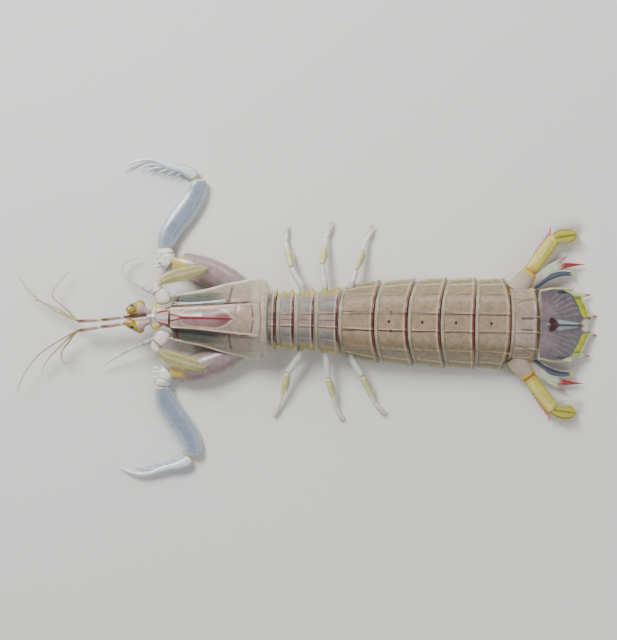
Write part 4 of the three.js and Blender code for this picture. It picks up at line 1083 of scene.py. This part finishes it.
def wrist_shapes():
    """The knobbly wrist, with three blunt teeth in front."""

    def paint(t, angle, rings):
        made = Paint(rings, "DDDAD8", 0.08).over("F0EFEA", stripe(np.sin(angle) - 1, 0.2, 0.3))
        return made.over("D0C05A", ramp(-t, -0.12, 0))

    def relief(t, angle):
        knobs = 0.09 * np.cos(3 * angle + 0.8) * (1 - np.abs(2 * t - 1))
        twist = 0.05 * np.cos(5 * angle + 6 * t)
        crease = 0.14 * stripe(t - 0.62, 0.03, 0.07) * ramp(np.sin(angle), -0.2, 0.4)
        return 1 + knobs + twist - crease

    block = limb(
        [(-43.6, 17.2, 3.3), (-45, 18.4, 3.4), (-45.8, 20.2, 3.2), (-46.1, 22.3, 3)],
        [(2.3, 2.1), (2.9, 2.5), (3, 2.4), (2.4, 1.8)],
        paint,
        40,
        50,
        domed=(0.8, 0.6),
        relief=relief,
    )
    places = ((17.0, 16.1, 3.4), (18.2, 17.6, 4.3), (19.6, 19.4, 4.2))
    white = tipped("E0DEDA", "F6F5F0", 0.2)
    teeth = [spine((-46.2, a, z), (-49.2, b, z + 0.3), 0.85, white, flat=0.8) for a, b, z in places]
    return [block, *teeth]


def hand_shapes():
    """The hand, with a groove for the finger and a comb of upright teeth along its front edge."""
    line, sizes = split(HAND)

    def paint(t, angle, rings):
        made = Paint(rings, "B0B9C6", 0.08)
        made.over("C6CBD2", ramp(np.sin(angle), 0.2, 1) * 0.4)
        made.over("8E9BAE", stripe(np.cos(angle) + 0.1, 0.25, 0.3) * ramp(np.sin(angle), 0, 0.4) * 0.6)
        made.over("E4E8EC", ramp(np.cos(angle), 0.5, 0.92) * 0.9)
        made.over("F3EFDE", ramp(-np.cos(angle), 0.93, 0.98))
        made.over("DEDCCF", ramp(t, 0.9, 0.98) * 0.8 + ramp(-t, -0.1, 0) * 0.7)
        return made.over("E2D8A8", stripe(t - 0.985, 0.01, 0.01))

    def relief(t, angle):
        groove = stripe(angle - math.pi / 2 - 0.9, 0.12, 0.25)
        return 1 - 0.1 * groove * ramp(t, 0.08, 0.2) * fall(t, 0.85, 0.95)

    whole = limb(line, sizes, paint, 56, 120, domed=(1, 1), relief=relief)
    roots, _, t = edge_of(line, sizes, 1, 78, 0.97)
    across = unit(np.cross(UP, unit(np.gradient(curve(line, t), axis=0))))
    made = [whole]
    # The comb leaves out the two ends of the edge
    for root, out in zip(roots[9:-6], across[9:-6]):
        tip = root + out * 0.62 + (0, 0, 0.35)
        made.append(spine(root + (0, 0, 0.2), tip, 0.17, plain("F2F0E6"), sides=5, steps=4))
    for root, tip in HAND_THORNS:
        made.append(spine(root, tip, 0.5, tipped("E9E8E2", "E6DFC4", 0.5)))
    return made


def finger_shapes():
    """The finger, a long curved blade with five more teeth along its inner edge."""

    def paint(t, angle, rings):
        made = Paint(rings, "D9DFE8").over("F0F3F6", ramp(t, 0.4, 0.9))
        made.over("AEB9C8", stripe(t - 0.2, 0.12, 0.15) * 0.5).over("EFEDE4", ramp(-t, -0.07, 0))
        return made.over("F4F5F2", stripe(np.sin(angle) - 1, 0.1, 0.2) * 0.6)

    blade = limb(*split(FINGER), paint, 28, 120, domed=(0.8, 0))
    glassy = tipped("C6CFDA", "F2F4F4", 0.35)
    teeth = [
        spine(root, tip, radius, glassy, bow=(0, bow, 0), flat=0.9, sides=16, steps=40)
        for root, bow, tip, radius in TEETH
    ]
    return [blade, *teeth]


# Limbs on the underside
MAXILLIPEDS = (
    ((-31, 4.2, 2.6), (-36.5, 7, 2.4), (-40.6, 5, 2)),
    ((-27, 4.2, 2.5), (-31.4, 6.8, 2.2), (-35.4, 4.8, 1.5)),
    ((-23, 4.2, 2.5), (-26.4, 6.4, 2.2), (-30, 4.3, 1.2)),
)


def maxilliped_shapes():
    """Three short grasping limbs with disc-shaped, fringed hands."""
    hips = [(-33, 3.6, 2.6), (-27, 3.8, 2.5), (-21, 3.6, 2.6)]
    made = [limb(hips, [(1.2, 0.8), (1.3, 0.9), (1.2, 0.8)], plain("CFC2AA"), domed=(1, 1))]
    for number, rows in enumerate(MAXILLIPEDS):
        root, elbow, palm = (np.array(p, float) for p in rows)
        beyond = palm + unit(palm - elbow) * 2
        line = [root, between(root, elbow, 0.5), elbow]
        made.append(limb(line, even(1, 0.9, 0.7), plain("D3C8B2"), domed=(0.3, 0.5)))
        line = [elbow, between(elbow, palm, 0.6), palm, beyond]
        sizes = [(0.7, 0.7), (1.2, 0.6), (1.7, 0.6), (0.6, 0.4)]
        made.append(limb(line, sizes, tipped("D8CFBA", "E8E2CC", 0.5), 24, 40, domed=(0.4, 0.6)))
        made += fringe(line, sizes, 0.9, 40 + number, count=36, start=0.35, radius=0.04)
        tip = palm + (0.6, 0.9, -0.7)
        made.append(spine(beyond, tip, 0.3, tipped("CFC8B0", "F0EEE0"), bow=(-0.5, 0.9, -0.3)))
    return made


# Root, hip, knee, ankle and foot of each walking leg
LEGS = {
    "leg_1_right": [
        (-1.2, 7.6, 5.4), (-1.4, 10.6, 6.6), (-5, 16.8, 5.4), (-7, 25.5, 2.2), (-6.4, 29.6, 0.45),
    ],
    "leg_2_right": [
        (5.6, 7.8, 5.4), (6, 11, 6.6), (4.9, 18, 5.4), (6.2, 26.8, 2.2), (8.2, 31.2, 0.45),
    ],
    "leg_3_right": [
        (14, 8, 5.2), (14.8, 12.4, 6), (16, 16.4, 5.2), (19, 25.8, 2.2), (21.6, 30.2, 0.45),
    ],
    "leg_1_left": [
        (-1.2, -7.6, 5.4), (-1.8, -11.4, 6.6), (-5.4, -17.2, 5.4), (-7.8, -26.8, 2.2), (-9.4, -31.6, 0.45),
    ],
    "leg_2_left": [
        (5.6, -7.8, 5.4), (6.8, -12, 6.6), (7.6, -18.6, 5.4), (10.2, -28, 2.2), (13, -32.4, 0.45),
    ],
    "leg_3_left": [
        (14, -8, 5.2), (15.4, -12.8, 6), (18.6, -17.8, 5.2), (22.8, -26.4, 2.2), (26.6, -30.2, 0.45),
    ],
}
LEG_SEED = 500
FOOT_BRISTLES = 90
BRANCH_BRISTLES = 30


def leg_shapes(points, seed):
    """A walking leg of three joints with a brush at its foot, and a slim branch beside it."""
    root, hip, knee, ankle, foot = (np.array(p, float) for p in points)

    def upper_paint(t, angle, rings):
        return Paint(rings, "D2D2CC", 0.12).over("E4E4DC", stripe(t - 0.6, 0.2, 0.2) * 0.6)

    def middle_paint(t, angle, rings):
        made = Paint(rings, "E2E2D2", 0.08).over("D6D28E", stripe(t - 0.45, 0.15, 0.3) * 0.75)
        return made.over("F0EFE4", ramp(t, 0.7, 0.95) * 0.9)

    bend = between(knee, hip, 0.1)
    upper = [root, hip, between(hip, knee, 0.5), bend, knee]
    middle = [knee, between(knee, ankle, 0.12), between(knee, ankle, 0.55), ankle]
    middle_sizes = [(0.8, 0.8), (0.98, 0.95), (0.92, 0.88), (0.62, 0.6)]
    lower = [ankle, between(ankle, foot, 0.6), foot]
    lower_sizes = [(0.6, 0.58), (0.74, 0.6), (0.35, 0.35)]
    end = between(knee, ankle, 0.62) + (1.4, 0, -1.6)
    branch = [bend, between(knee, ankle, 0.3) + (1.2, 0, -1), end]
    branch_sizes = [(0.55, 0.5), (0.4, 0.35), (0.3, 0.25)]
    made = [
        limb(upper, even(1.25, 1.05, 1.02, 1, 0.8), upper_paint, 20, 50, domed=(0.3, 0.6)),
        limb(middle, middle_sizes, middle_paint, 20, 50, domed=(0.5, 0.3)),
        limb(lower, lower_sizes, tipped("EAE8DC", "F6F5EE"), 16, 30, domed=(0.3, 0.5)),
        limb(branch, branch_sizes, tipped("D2D4C4", "E8E8DC"), 12, 30, domed=(0, 0.4)),
    ]
    random = np.random.default_rng(seed)
    share = random.uniform(0.25, 1, FOOT_BRISTLES)[:, None]
    along = unit(foot - ankle)
    out = unit(random.normal(0, 1, (FOOT_BRISTLES, 3)))
    out -= along * (out @ along)[:, None]
    out = unit(out)
    roots = between(ankle, foot, share) + out * 0.45
    lengths = np.full(FOOT_BRISTLES, 1.7)
    made.append(bristles(roots, along + out * 0.5, lengths, seed + 1, radius=0.04))
    share = random.uniform(0.3, 1, BRANCH_BRISTLES)[:, None]
    roots = between(end, bend, (1 - share) * 0.5)
    directions = np.tile(unit(end - bend), (BRANCH_BRISTLES, 1))
    lengths = np.full(BRANCH_BRISTLES, 1.1)
    made.append(bristles(roots, directions, lengths, seed + 2, radius=0.035))
    return made


SWIMMER_SEED = 300
FILAMENTS = 16


def swimmer_shapes(x, seed):
    """A swimming leg: a block, two flat fringed blades on the floor, and a tuft of gill filaments."""
    line = [(x + 0.9, 5.4, 3.3), (x + 3.2, 6, 2.2)]
    made = [limb(line, [(2.4, 1.4), (2.2, 0.8)], plain("D6CBB2"), 28, 30, domed=(0.4, 0.6))]
    for y, out, half, fold in ((7.1, 0.6, 1.9, 1), (3.8, -0.7, 1.8, 2)):
        line = [
            (x + 2.4, y, 2.3),
            (x + 4.8, y + out * 0.4, 1.4),
            (x + 7.2, y + out * 0.8, 0.5),
            (x + 9.2, y + out, 0.35),
        ]
        sizes = [(half * 0.6, 0.4), (half, 0.3), (half, 0.24), (half * 0.35, 0.2)]
        made.append(limb(line, sizes, tipped("DDD5C0", "CBBE9E", 0.3), 32, 40, domed=(0.4, 1.2)))
        made += fringe(line, sizes, 1.3, seed + fold, count=44, start=0.25, code="D9CFB6", radius=0.04)
    random = np.random.default_rng(seed)
    gill = tipped("C98F7C", "E0B8A4", 0.2)
    for i in range(FILAMENTS):
        y = 3.6 + 0.28 * i
        reach = random.uniform(3.2, 4.8)
        tip = (x + 1.4 + reach, y - 0.6 + random.uniform(-0.4, 0.4), 3.6 + random.uniform(-0.6, 0.6))
        bow = (0, random.uniform(-0.4, 0.4), 0.2)
        made.append(spine((x + 1.4, y, 3.7), tip, 0.22, gill, bow, sides=6, steps=8))
    return made


# Tail fan
FAN_TURN = {"right": 1.2, "left": -1.2}  # degrees
FAN_PIVOT = np.array([67, 11, 0])
OUTER_ROOT = np.array([72.1, 17, 4.9])
OUTER_END = np.array([80.4, 27.9, 3.3])
FAN_SPINES = 9


def turned(degrees):
    """Opens one side of the fan about its pivot."""
    cos, sin = math.cos(math.radians(degrees)), math.sin(math.radians(degrees))

    def change(points):
        x, y, z = (points - FAN_PIVOT).T
        return spread(x * cos - y * sin, x * sin + y * cos, z) + FAN_PIVOT

    return change


def fan_base_shapes():
    """The first joint of the fan, with its long forked process."""

    def block_paint(t, angle, rings):
        made = Paint(rings, "C4B4AC", 0.25).over("D6C84E", ramp(t, 0.62, 0.85) * 0.75)
        made.over("D0C664", ramp(np.abs(np.cos(angle)), 0.84, 0.94) * 0.8)
        return made.over("D08A3A", ramp(t, 0.9, 0.97) * ramp(np.sin(angle), 0, 0.4) * 0.8)

    def process_paint(t, angle, rings):
        made = Paint(rings, "C6BAB4", 0.2).over("CBD6C0", stripe(t - 0.5, 0.14, 0.12) * 0.9)
        made.over("E9E9DE", ramp(np.abs(np.cos(angle)), 0.9, 0.96) * fall(t, 0.55, 0.7))
        return made.over("B03A3C", ramp(t, 0.6, 0.76))

    block = limb(
        [(67.2, 10.2, 6.6), (69.2, 12.9, 6.1), (70.9, 15.2, 5.5), (72.2, 17, 5)],
        [(3.3, 2), (3.2, 1.8), (2.8, 1.5), (2.3, 1.2)],
        block_paint,
        40,
        60,
        domed=(0.5, 0.25),
    )
    process = limb(
        [(71.6, 12.6, 5.2), (75.4, 15.2, 4.2), (79, 17.4, 3.4), (84, 18.9, 2.7), (90.4, 19.3, 2)],
        [(1.8, 0.9), (1.9, 0.8), (1.6, 0.7), (0.85, 0.6), (0.05, 0.05)],
        process_paint,
        28,
        80,
    )
    red = tipped("D3D6C2", "B03A3C", 0.2)
    short = spine((78.4, 18.2, 3.4), (84.8, 22, 2.4), 0.85, red, flat=0.8, sides=18, steps=30)
    return [block, process, short]


def fan_outer_shapes():
    """The outer branch, with a row of spines along its outer edge and a fringe along its inner one."""
    mid = (OUTER_ROOT + OUTER_END) / 2
    line = [
        OUTER_ROOT,
        between(OUTER_ROOT, OUTER_END, 0.2),
        mid,
        between(OUTER_END, mid, 0.15),
        OUTER_END,
    ]
    sizes = [(2, 1), (2.15, 1.05), (2.2, 1.05), (2.1, 0.9), (1.6, 0.7)]

    def paint(t, angle, rings):
        made = Paint(rings, "D3CA66", 0.3).over("E6DFA4", stripe(np.cos(angle) - 0.3, 0.2, 0.3) * 0.6)
        made.over("D49A44", ramp(-t, -0.22, -0.02) * 0.75).over("C9B8A8", ramp(t, 0.86, 0.97) * 0.6)
        return made.over("8E943C", ramp(np.abs(np.cos(angle)), 0.9, 0.97) * 0.6)

    made = [limb(line, sizes, paint, 40, 60, domed=(0.25, 0.6))]
    along = unit(OUTER_END - OUTER_ROOT)
    out = unit(np.array([-along[1], along[0], 0]))
    for i in range(FAN_SPINES):
        share = 0.36 + 0.6 * i / (FAN_SPINES - 1)
        length = 1 + 0.14 * i + (0.9 if i == FAN_SPINES - 1 else 0)
        root = between(OUTER_ROOT, OUTER_END, share) + out * 1.5
        tip = root + out * (0.8 + 0.35 * length) + along * length
        made.append(spine(root, tip, 0.36, tipped("D88A74", "B02E2C", 0.2)))
    return made + fringe(line, sizes, 4.2, 61, sides=(-1,), count=110, start=0.15, radius=0.032)


PADDLE_LINE = [(79.6, 27.5, 3.2), (81.2, 27.9, 3), (83.4, 28.3, 2.6), (86, 28.7, 2.1), (88, 29, 1.7)]
PADDLE_SIZES = [(1.1, 0.55), (1.9, 0.6), (2.4, 0.55), (2, 0.5), (0.7, 0.35)]
INNER_LINE = [(72.8, 11.2, 5), (75.2, 12.9, 4.5), (78.6, 15, 3.8), (82.6, 16.2, 3), (87, 16.2, 2.2)]
INNER_SIZES = [(0.9, 0.5), (1.25, 0.55), (1.3, 0.5), (1.15, 0.5), (0.7, 0.36)]


def fan_paddle_shapes():
    """The fringed paddle at the end of the outer branch."""

    def paint(t, angle, rings):
        across = np.abs(np.cos(angle))
        made = Paint(rings, "BEB740", 0.25).over("D2CC6A", stripe(across - 0.5, 0.15, 0.25) * 0.6)
        made.over("6E6C2C", stripe(np.cos(angle), 0.05, 0.14) * 0.8)
        return made.over("7A7A34", stripe(across - 0.88, 0.03, 0.05) * 0.7)

    blade = limb(PADDLE_LINE, PADDLE_SIZES, paint, 36, 50, domed=(0.5, 1.2))
    return [blade, *fringe(PADDLE_LINE, PADDLE_SIZES, 5.0, 71, count=130, start=0.1, radius=0.032)]


def fan_inner_shapes():
    """The slim inner branch, fringed along both edges."""

    def paint(t, angle, rings):
        made = Paint(rings, "5C6474", 0.1).over("7E8494", stripe(np.cos(angle) - 0.2, 0.12, 0.25) * 0.6)
        made.over("E9EAEA", ramp(np.abs(np.cos(angle)), 0.7, 0.8))
        return made.over("DCD888", ramp(t, 0.9, 0.97))

    blade = limb(INNER_LINE, INNER_SIZES, paint, 32, 60, domed=(0.4, 1))
    return [blade, *fringe(INNER_LINE, INNER_SIZES, 4.0, 81, count=120, start=0.15, radius=0.032)]


# Heights the sides of the rings reach down from the back
THORAX_DROP = 7.4
ABDOMEN_DROP = 12.2
LAST_DROP = 7.6
FIRST_ABDOMEN = len(THORAX_LENGTHS)  # station where the abdomen begins


class ShellSettings(bpy.types.PropertyGroup):
    """Relief of the shell plates."""

    ridge_height: FloatProperty(
        name="Carina height",
        description="Height of the ridges on the back",
        default=0.0005,
        unit="LENGTH",
        subtype="DISTANCE",
    )


class StageSettings(bpy.types.PropertyGroup):
    """Floor, light and camera."""

    floor_colour: FloatVectorProperty(
        name="Floor",
        description="Colour of the floor",
        default=tuple(linear("E4E3E0")),
        size=3,
        subtype="COLOR",
        min=0,
        max=1,
    )
    key_power: FloatProperty(
        name="Key light",
        description="Power of the main light",
        default=5.6,
        unit="POWER",
    )
    lens: FloatProperty(
        name="Lens",
        description="Focal length of the camera",
        default=100,
        unit="CAMERA",
    )


class BuildTrunk(bpy.types.Operator):
    """Builds the free thoracic rings and the abdomen"""

    bl_idname = "mantis_shrimp.trunk"
    bl_label = "Trunk rings"

    def execute(self, context):
        ridge = context.scene.shrimp_shell.ridge_height / MM
        shell = finish_of("shell_satin")
        for i in range(len(THORAX_LENGTHS)):
            start, end = STATIONS[i], STATIONS[i + 1]
            shapes = [somite(start, end, THORAX_DROP, (0.22, 0.66), False, ridge * 0.8, paint_thorax)]
            name = f"thorax_{i + 5}"
            build(f"{name}_ring", shapes + side_lobes(start, end, i > 0), shell, [name])
        for i in range(len(ABDOMEN_LENGTHS)):
            start, end = STATIONS[FIRST_ABDOMEN + i], STATIONS[FIRST_ABDOMEN + i + 1]
            last = i == len(ABDOMEN_LENGTHS) - 1
            drop = LAST_DROP if last else ABDOMEN_DROP
            shapes = [somite(start, end, drop, (0.2, 0.64, 0.86), not last, ridge, paint_abdomen(i + 1))]
            if i >= 4:
                shapes += corner_spines(end, drop, (0.2, 0.64, 0.9) if last else (0.64, 0.97))
            name = f"abdomen_{i + 1}"
            build(f"{name}_ring", shapes, shell, [name])
        return {"FINISHED"}


class BuildFrontPlates(bpy.types.Operator):
    """Builds the carapace, the body under it, the head plate and the rostral plate"""

    bl_idname = "mantis_shrimp.front_plates"
    bl_label = "Carapace and head plates"

    def execute(self, context):
        ridge = context.scene.shrimp_shell.ridge_height / MM
        build("carapace_shell", carapace_shapes(ridge), finish_of("carapace_satin"), ["carapace"])
        build("underbody", core_shapes(), finish_of("membrane_soft"), ["cephalothorax"])
        build("head_wings", head_shapes(), finish_of("carapace_satin"), ["head_plate"])
        build("rostral_shield", rostral_shapes(), finish_of("carapace_satin"), ["rostral_plate"])
        return {"FINISHED"}


class BuildTelson(bpy.types.Operator):
    """Builds the tail plate with its teeth and denticles"""

    bl_idname = "mantis_shrimp.telson"
    bl_label = "Tail plate"

    def execute(self, context):
        build("tail_plate", telson_shapes(), finish_of("shell_satin"), ["telson"])
        return {"FINISHED"}


class BuildEyes(bpy.types.Operator):
    """Builds the two-lobed eyes and their stalks"""

    bl_idname = "mantis_shrimp.eyes"
    bl_label = "Eyes"

    def execute(self, context):
        for name, side in SIDES:
            cornea, stalk = eye_shapes()
            build(f"cornea_{name}", cornea, finish_of("cornea_wet"), [f"eye_{name}"], side)
            build(f"eye_stalk_{name}", stalk, finish_of("limb_satin"), [f"eye_{name}"], side)
        return {"FINISHED"}


class BuildFeelers(bpy.types.Operator):
    """Builds the antennules, the antennae and the antennal scales"""

    bl_idname = "mantis_shrimp.feelers"
    bl_label = "Feelers"

    def execute(self, context):
        satin = finish_of("limb_satin")
        for name, side in SIDES:
            shapes = antennule_shapes(*ANTENNULES[name])
            build(f"feeler_inner_{name}", shapes, satin, [f"antennule_{name}"])
            shapes = antenna_shapes(ANTENNA_WHIPS[name])
            build(f"feeler_outer_{name}", shapes, satin, [f"antenna_{name}"])
            build(f"feeler_root_{name}", antenna_base_shapes(), satin, [f"antenna_base_{name}"], side)
            build(f"feeler_scale_{name}", scale_shapes(), satin, [f"antennal_scale_{name}"], side)
        return {"FINISHED"}


class BuildClaws(bpy.types.Operator):
    """Builds the arm, wrist, hand and toothed finger of both claws"""

    bl_idname = "mantis_shrimp.claws"
    bl_label = "Claws"

    def execute(self, context):
        glossy = finish_of("claw_glossy")
        for name, side in SIDES:
            build(f"claw_arm_{name}", arm_shapes(), finish_of("carapace_satin"), [f"arm_{name}"], side)
            build(f"claw_wrist_{name}", wrist_shapes(), glossy, [f"wrist_{name}"], side)
            build(f"claw_hand_{name}", hand_shapes(), glossy, [f"hand_{name}"], side)
            build(f"claw_finger_{name}", finger_shapes(), glossy, [f"finger_{name}"], side)
        return {"FINISHED"}


class BuildUndersideLimbs(bpy.types.Operator):
    """Builds the maxillipeds, the walking legs and the swimming legs"""

    bl_idname = "mantis_shrimp.underside_limbs"
    bl_label = "Legs and swimming legs"

    def execute(self, context):
        satin, soft = finish_of("limb_satin"), finish_of("membrane_soft")
        for name, side in SIDES:
            build(f"mouth_limbs_{name}", maxilliped_shapes(), soft, [f"maxillipeds_{name}"], side)
            for i in range(5):
                shapes = swimmer_shapes(STATIONS[FIRST_ABDOMEN + i] + 1.6, SWIMMER_SEED + 10 * i)
                piece = f"swimming_leg_{i + 1}_{name}"
                build(piece, shapes, soft, [f"swimmer_{i + 1}_{name}"], side)
        for seed, (name, points) in enumerate(LEGS.items()):
            build(f"walking_{name}", leg_shapes(points, LEG_SEED + 10 * seed), satin, [name])
        return {"FINISHED"}


class BuildTailFan(bpy.types.Operator):
    """Builds the spined and fringed branches of the tail fan"""

    bl_idname = "mantis_shrimp.tail_fan"
    bl_label = "Tail fan"

    def execute(self, context):
        satin = finish_of("limb_satin")
        pieces = (
            ("fan_base", fan_base_shapes, "shell"),
            ("fan_outer", fan_outer_shapes, "fan"),
            ("fan_paddle", fan_paddle_shapes, "fan"),
            ("fan_inner", fan_inner_shapes, "fan"),
        )
        for name, side in SIDES:
            for piece, shapes, slot in pieces:
                opened = [shape.moved(turned(FAN_TURN[name])) for shape in shapes()]
                build(f"{piece}_blade_{name}", opened, satin, [f"{piece}_{name}"], side)
        return {"FINISHED"}


class BuildStage(bpy.types.Operator):
    """Sets the pale floor, the soft studio lights and the camera straight above"""

    bl_idname = "mantis_shrimp.stage"
    bl_label = "Stage"

    def execute(self, context):
        settings = context.scene.shrimp_stage
        mesh = bpy.data.meshes.new("floor")
        reach = 3.0  # metres from the middle to each edge
        corners = [(-reach, -reach, 0), (reach, -reach, 0), (reach, reach, 0), (-reach, reach, 0)]
        mesh.from_pydata(corners, [], [(0, 1, 2, 3)])
        floor = bpy.data.objects.new("floor", mesh)
        context.scene.collection.objects.link(floor)
        # Matt painted board, even and pale
        board = bpy.data.materials.new("painted_board_matt")
        board.use_nodes = True
        shader = board.node_tree.nodes["Principled BSDF"]
        shader.inputs["Base Color"].default_value = (*settings.floor_colour, 1)
        shader.inputs["Roughness"].default_value = 0.8
        mesh.materials.append(board)
        floor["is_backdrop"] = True
        world = bpy.data.worlds.new("studio")
        world.use_nodes = True
        world.node_tree.nodes["Background"].inputs["Color"].default_value = (1, 1, 1, 1)
        world.node_tree.nodes["Background"].inputs["Strength"].default_value = 0.31
        context.scene.world = world
        lights = (
            ("key", (-0.3, 0.36, 0.5), 0.25, settings.key_power),
            ("fill", (0.4, -0.25, 0.45), 0.6, settings.key_power * 0.25),
            ("back", (0.1, 0.6, 0.25), 0.3, settings.key_power * 0.25),
        )
        for name, place, size, power in lights:
            light = bpy.data.lights.new(name, "AREA")
            light.energy = power
            light.size = size
            lamp = bpy.data.objects.new(name, light)
            lamp.location = place
            lamp.rotation_mode = "QUATERNION"
            lamp.rotation_quaternion = (-Vector(place)).to_track_quat("-Z", "Y")
            context.scene.collection.objects.link(lamp)
        self.add_camera(context, settings.lens)
        return {"FINISHED"}

    def add_camera(self, context, lens):
        """Looks straight down on the back with the head to the left, turned a little as in the photo."""
        lo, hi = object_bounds()
        middle = (lo + hi) / 2
        frame_height = 1.09 * (hi.x - lo.x)
        data = bpy.data.cameras.new("camera")
        data.lens = lens
        data.sensor_width = 36
        data.clip_start = 0.01
        camera = bpy.data.objects.new("camera", data)
        camera.location = (middle.x, middle.y, frame_height * lens / data.sensor_width + middle.z)
        camera.rotation_euler = (0, 0, math.radians(1.13))
        context.scene.collection.objects.link(camera)
        context.scene.camera = camera


class ModelPanel(bpy.types.Panel):
    """Lists the steps of the model in the sidebar"""

    bl_idname = "VIEW3D_PT_mantis_shrimp"
    bl_label = "Mantis shrimp"
    bl_space_type = "VIEW_3D"
    bl_region_type = "UI"
    bl_category = "Mantis shrimp"

    def draw(self, context):
        layout = self.layout
        layout.prop(context.scene.shrimp_shell, "ridge_height")
        for name in ("floor_colour", "key_power", "lens"):
            layout.prop(context.scene.shrimp_stage, name)
        for step in STEPS:
            layout.operator(step.bl_idname)


STEPS = (
    BuildFrontPlates,
    BuildTrunk,
    BuildTelson,
    BuildEyes,
    BuildFeelers,
    BuildClaws,
    BuildUndersideLimbs,
    BuildTailFan,
    BuildStage,
)
CLASSES = (ShellSettings, StageSettings, *STEPS, ModelPanel)


def register():
    for item in CLASSES:
        bpy.utils.register_class(item)
    bpy.types.Scene.shrimp_shell = PointerProperty(type=ShellSettings)
    bpy.types.Scene.shrimp_stage = PointerProperty(type=StageSettings)


def unregister():
    del bpy.types.Scene.shrimp_stage
    del bpy.types.Scene.shrimp_shell
    for item in reversed(CLASSES):
        bpy.utils.unregister_class(item)


def main():
    register()
    for step in STEPS:
        group, name = step.bl_idname.split(".")
        getattr(getattr(bpy.ops, group), name)()


if __name__ == "__main__":
    main()
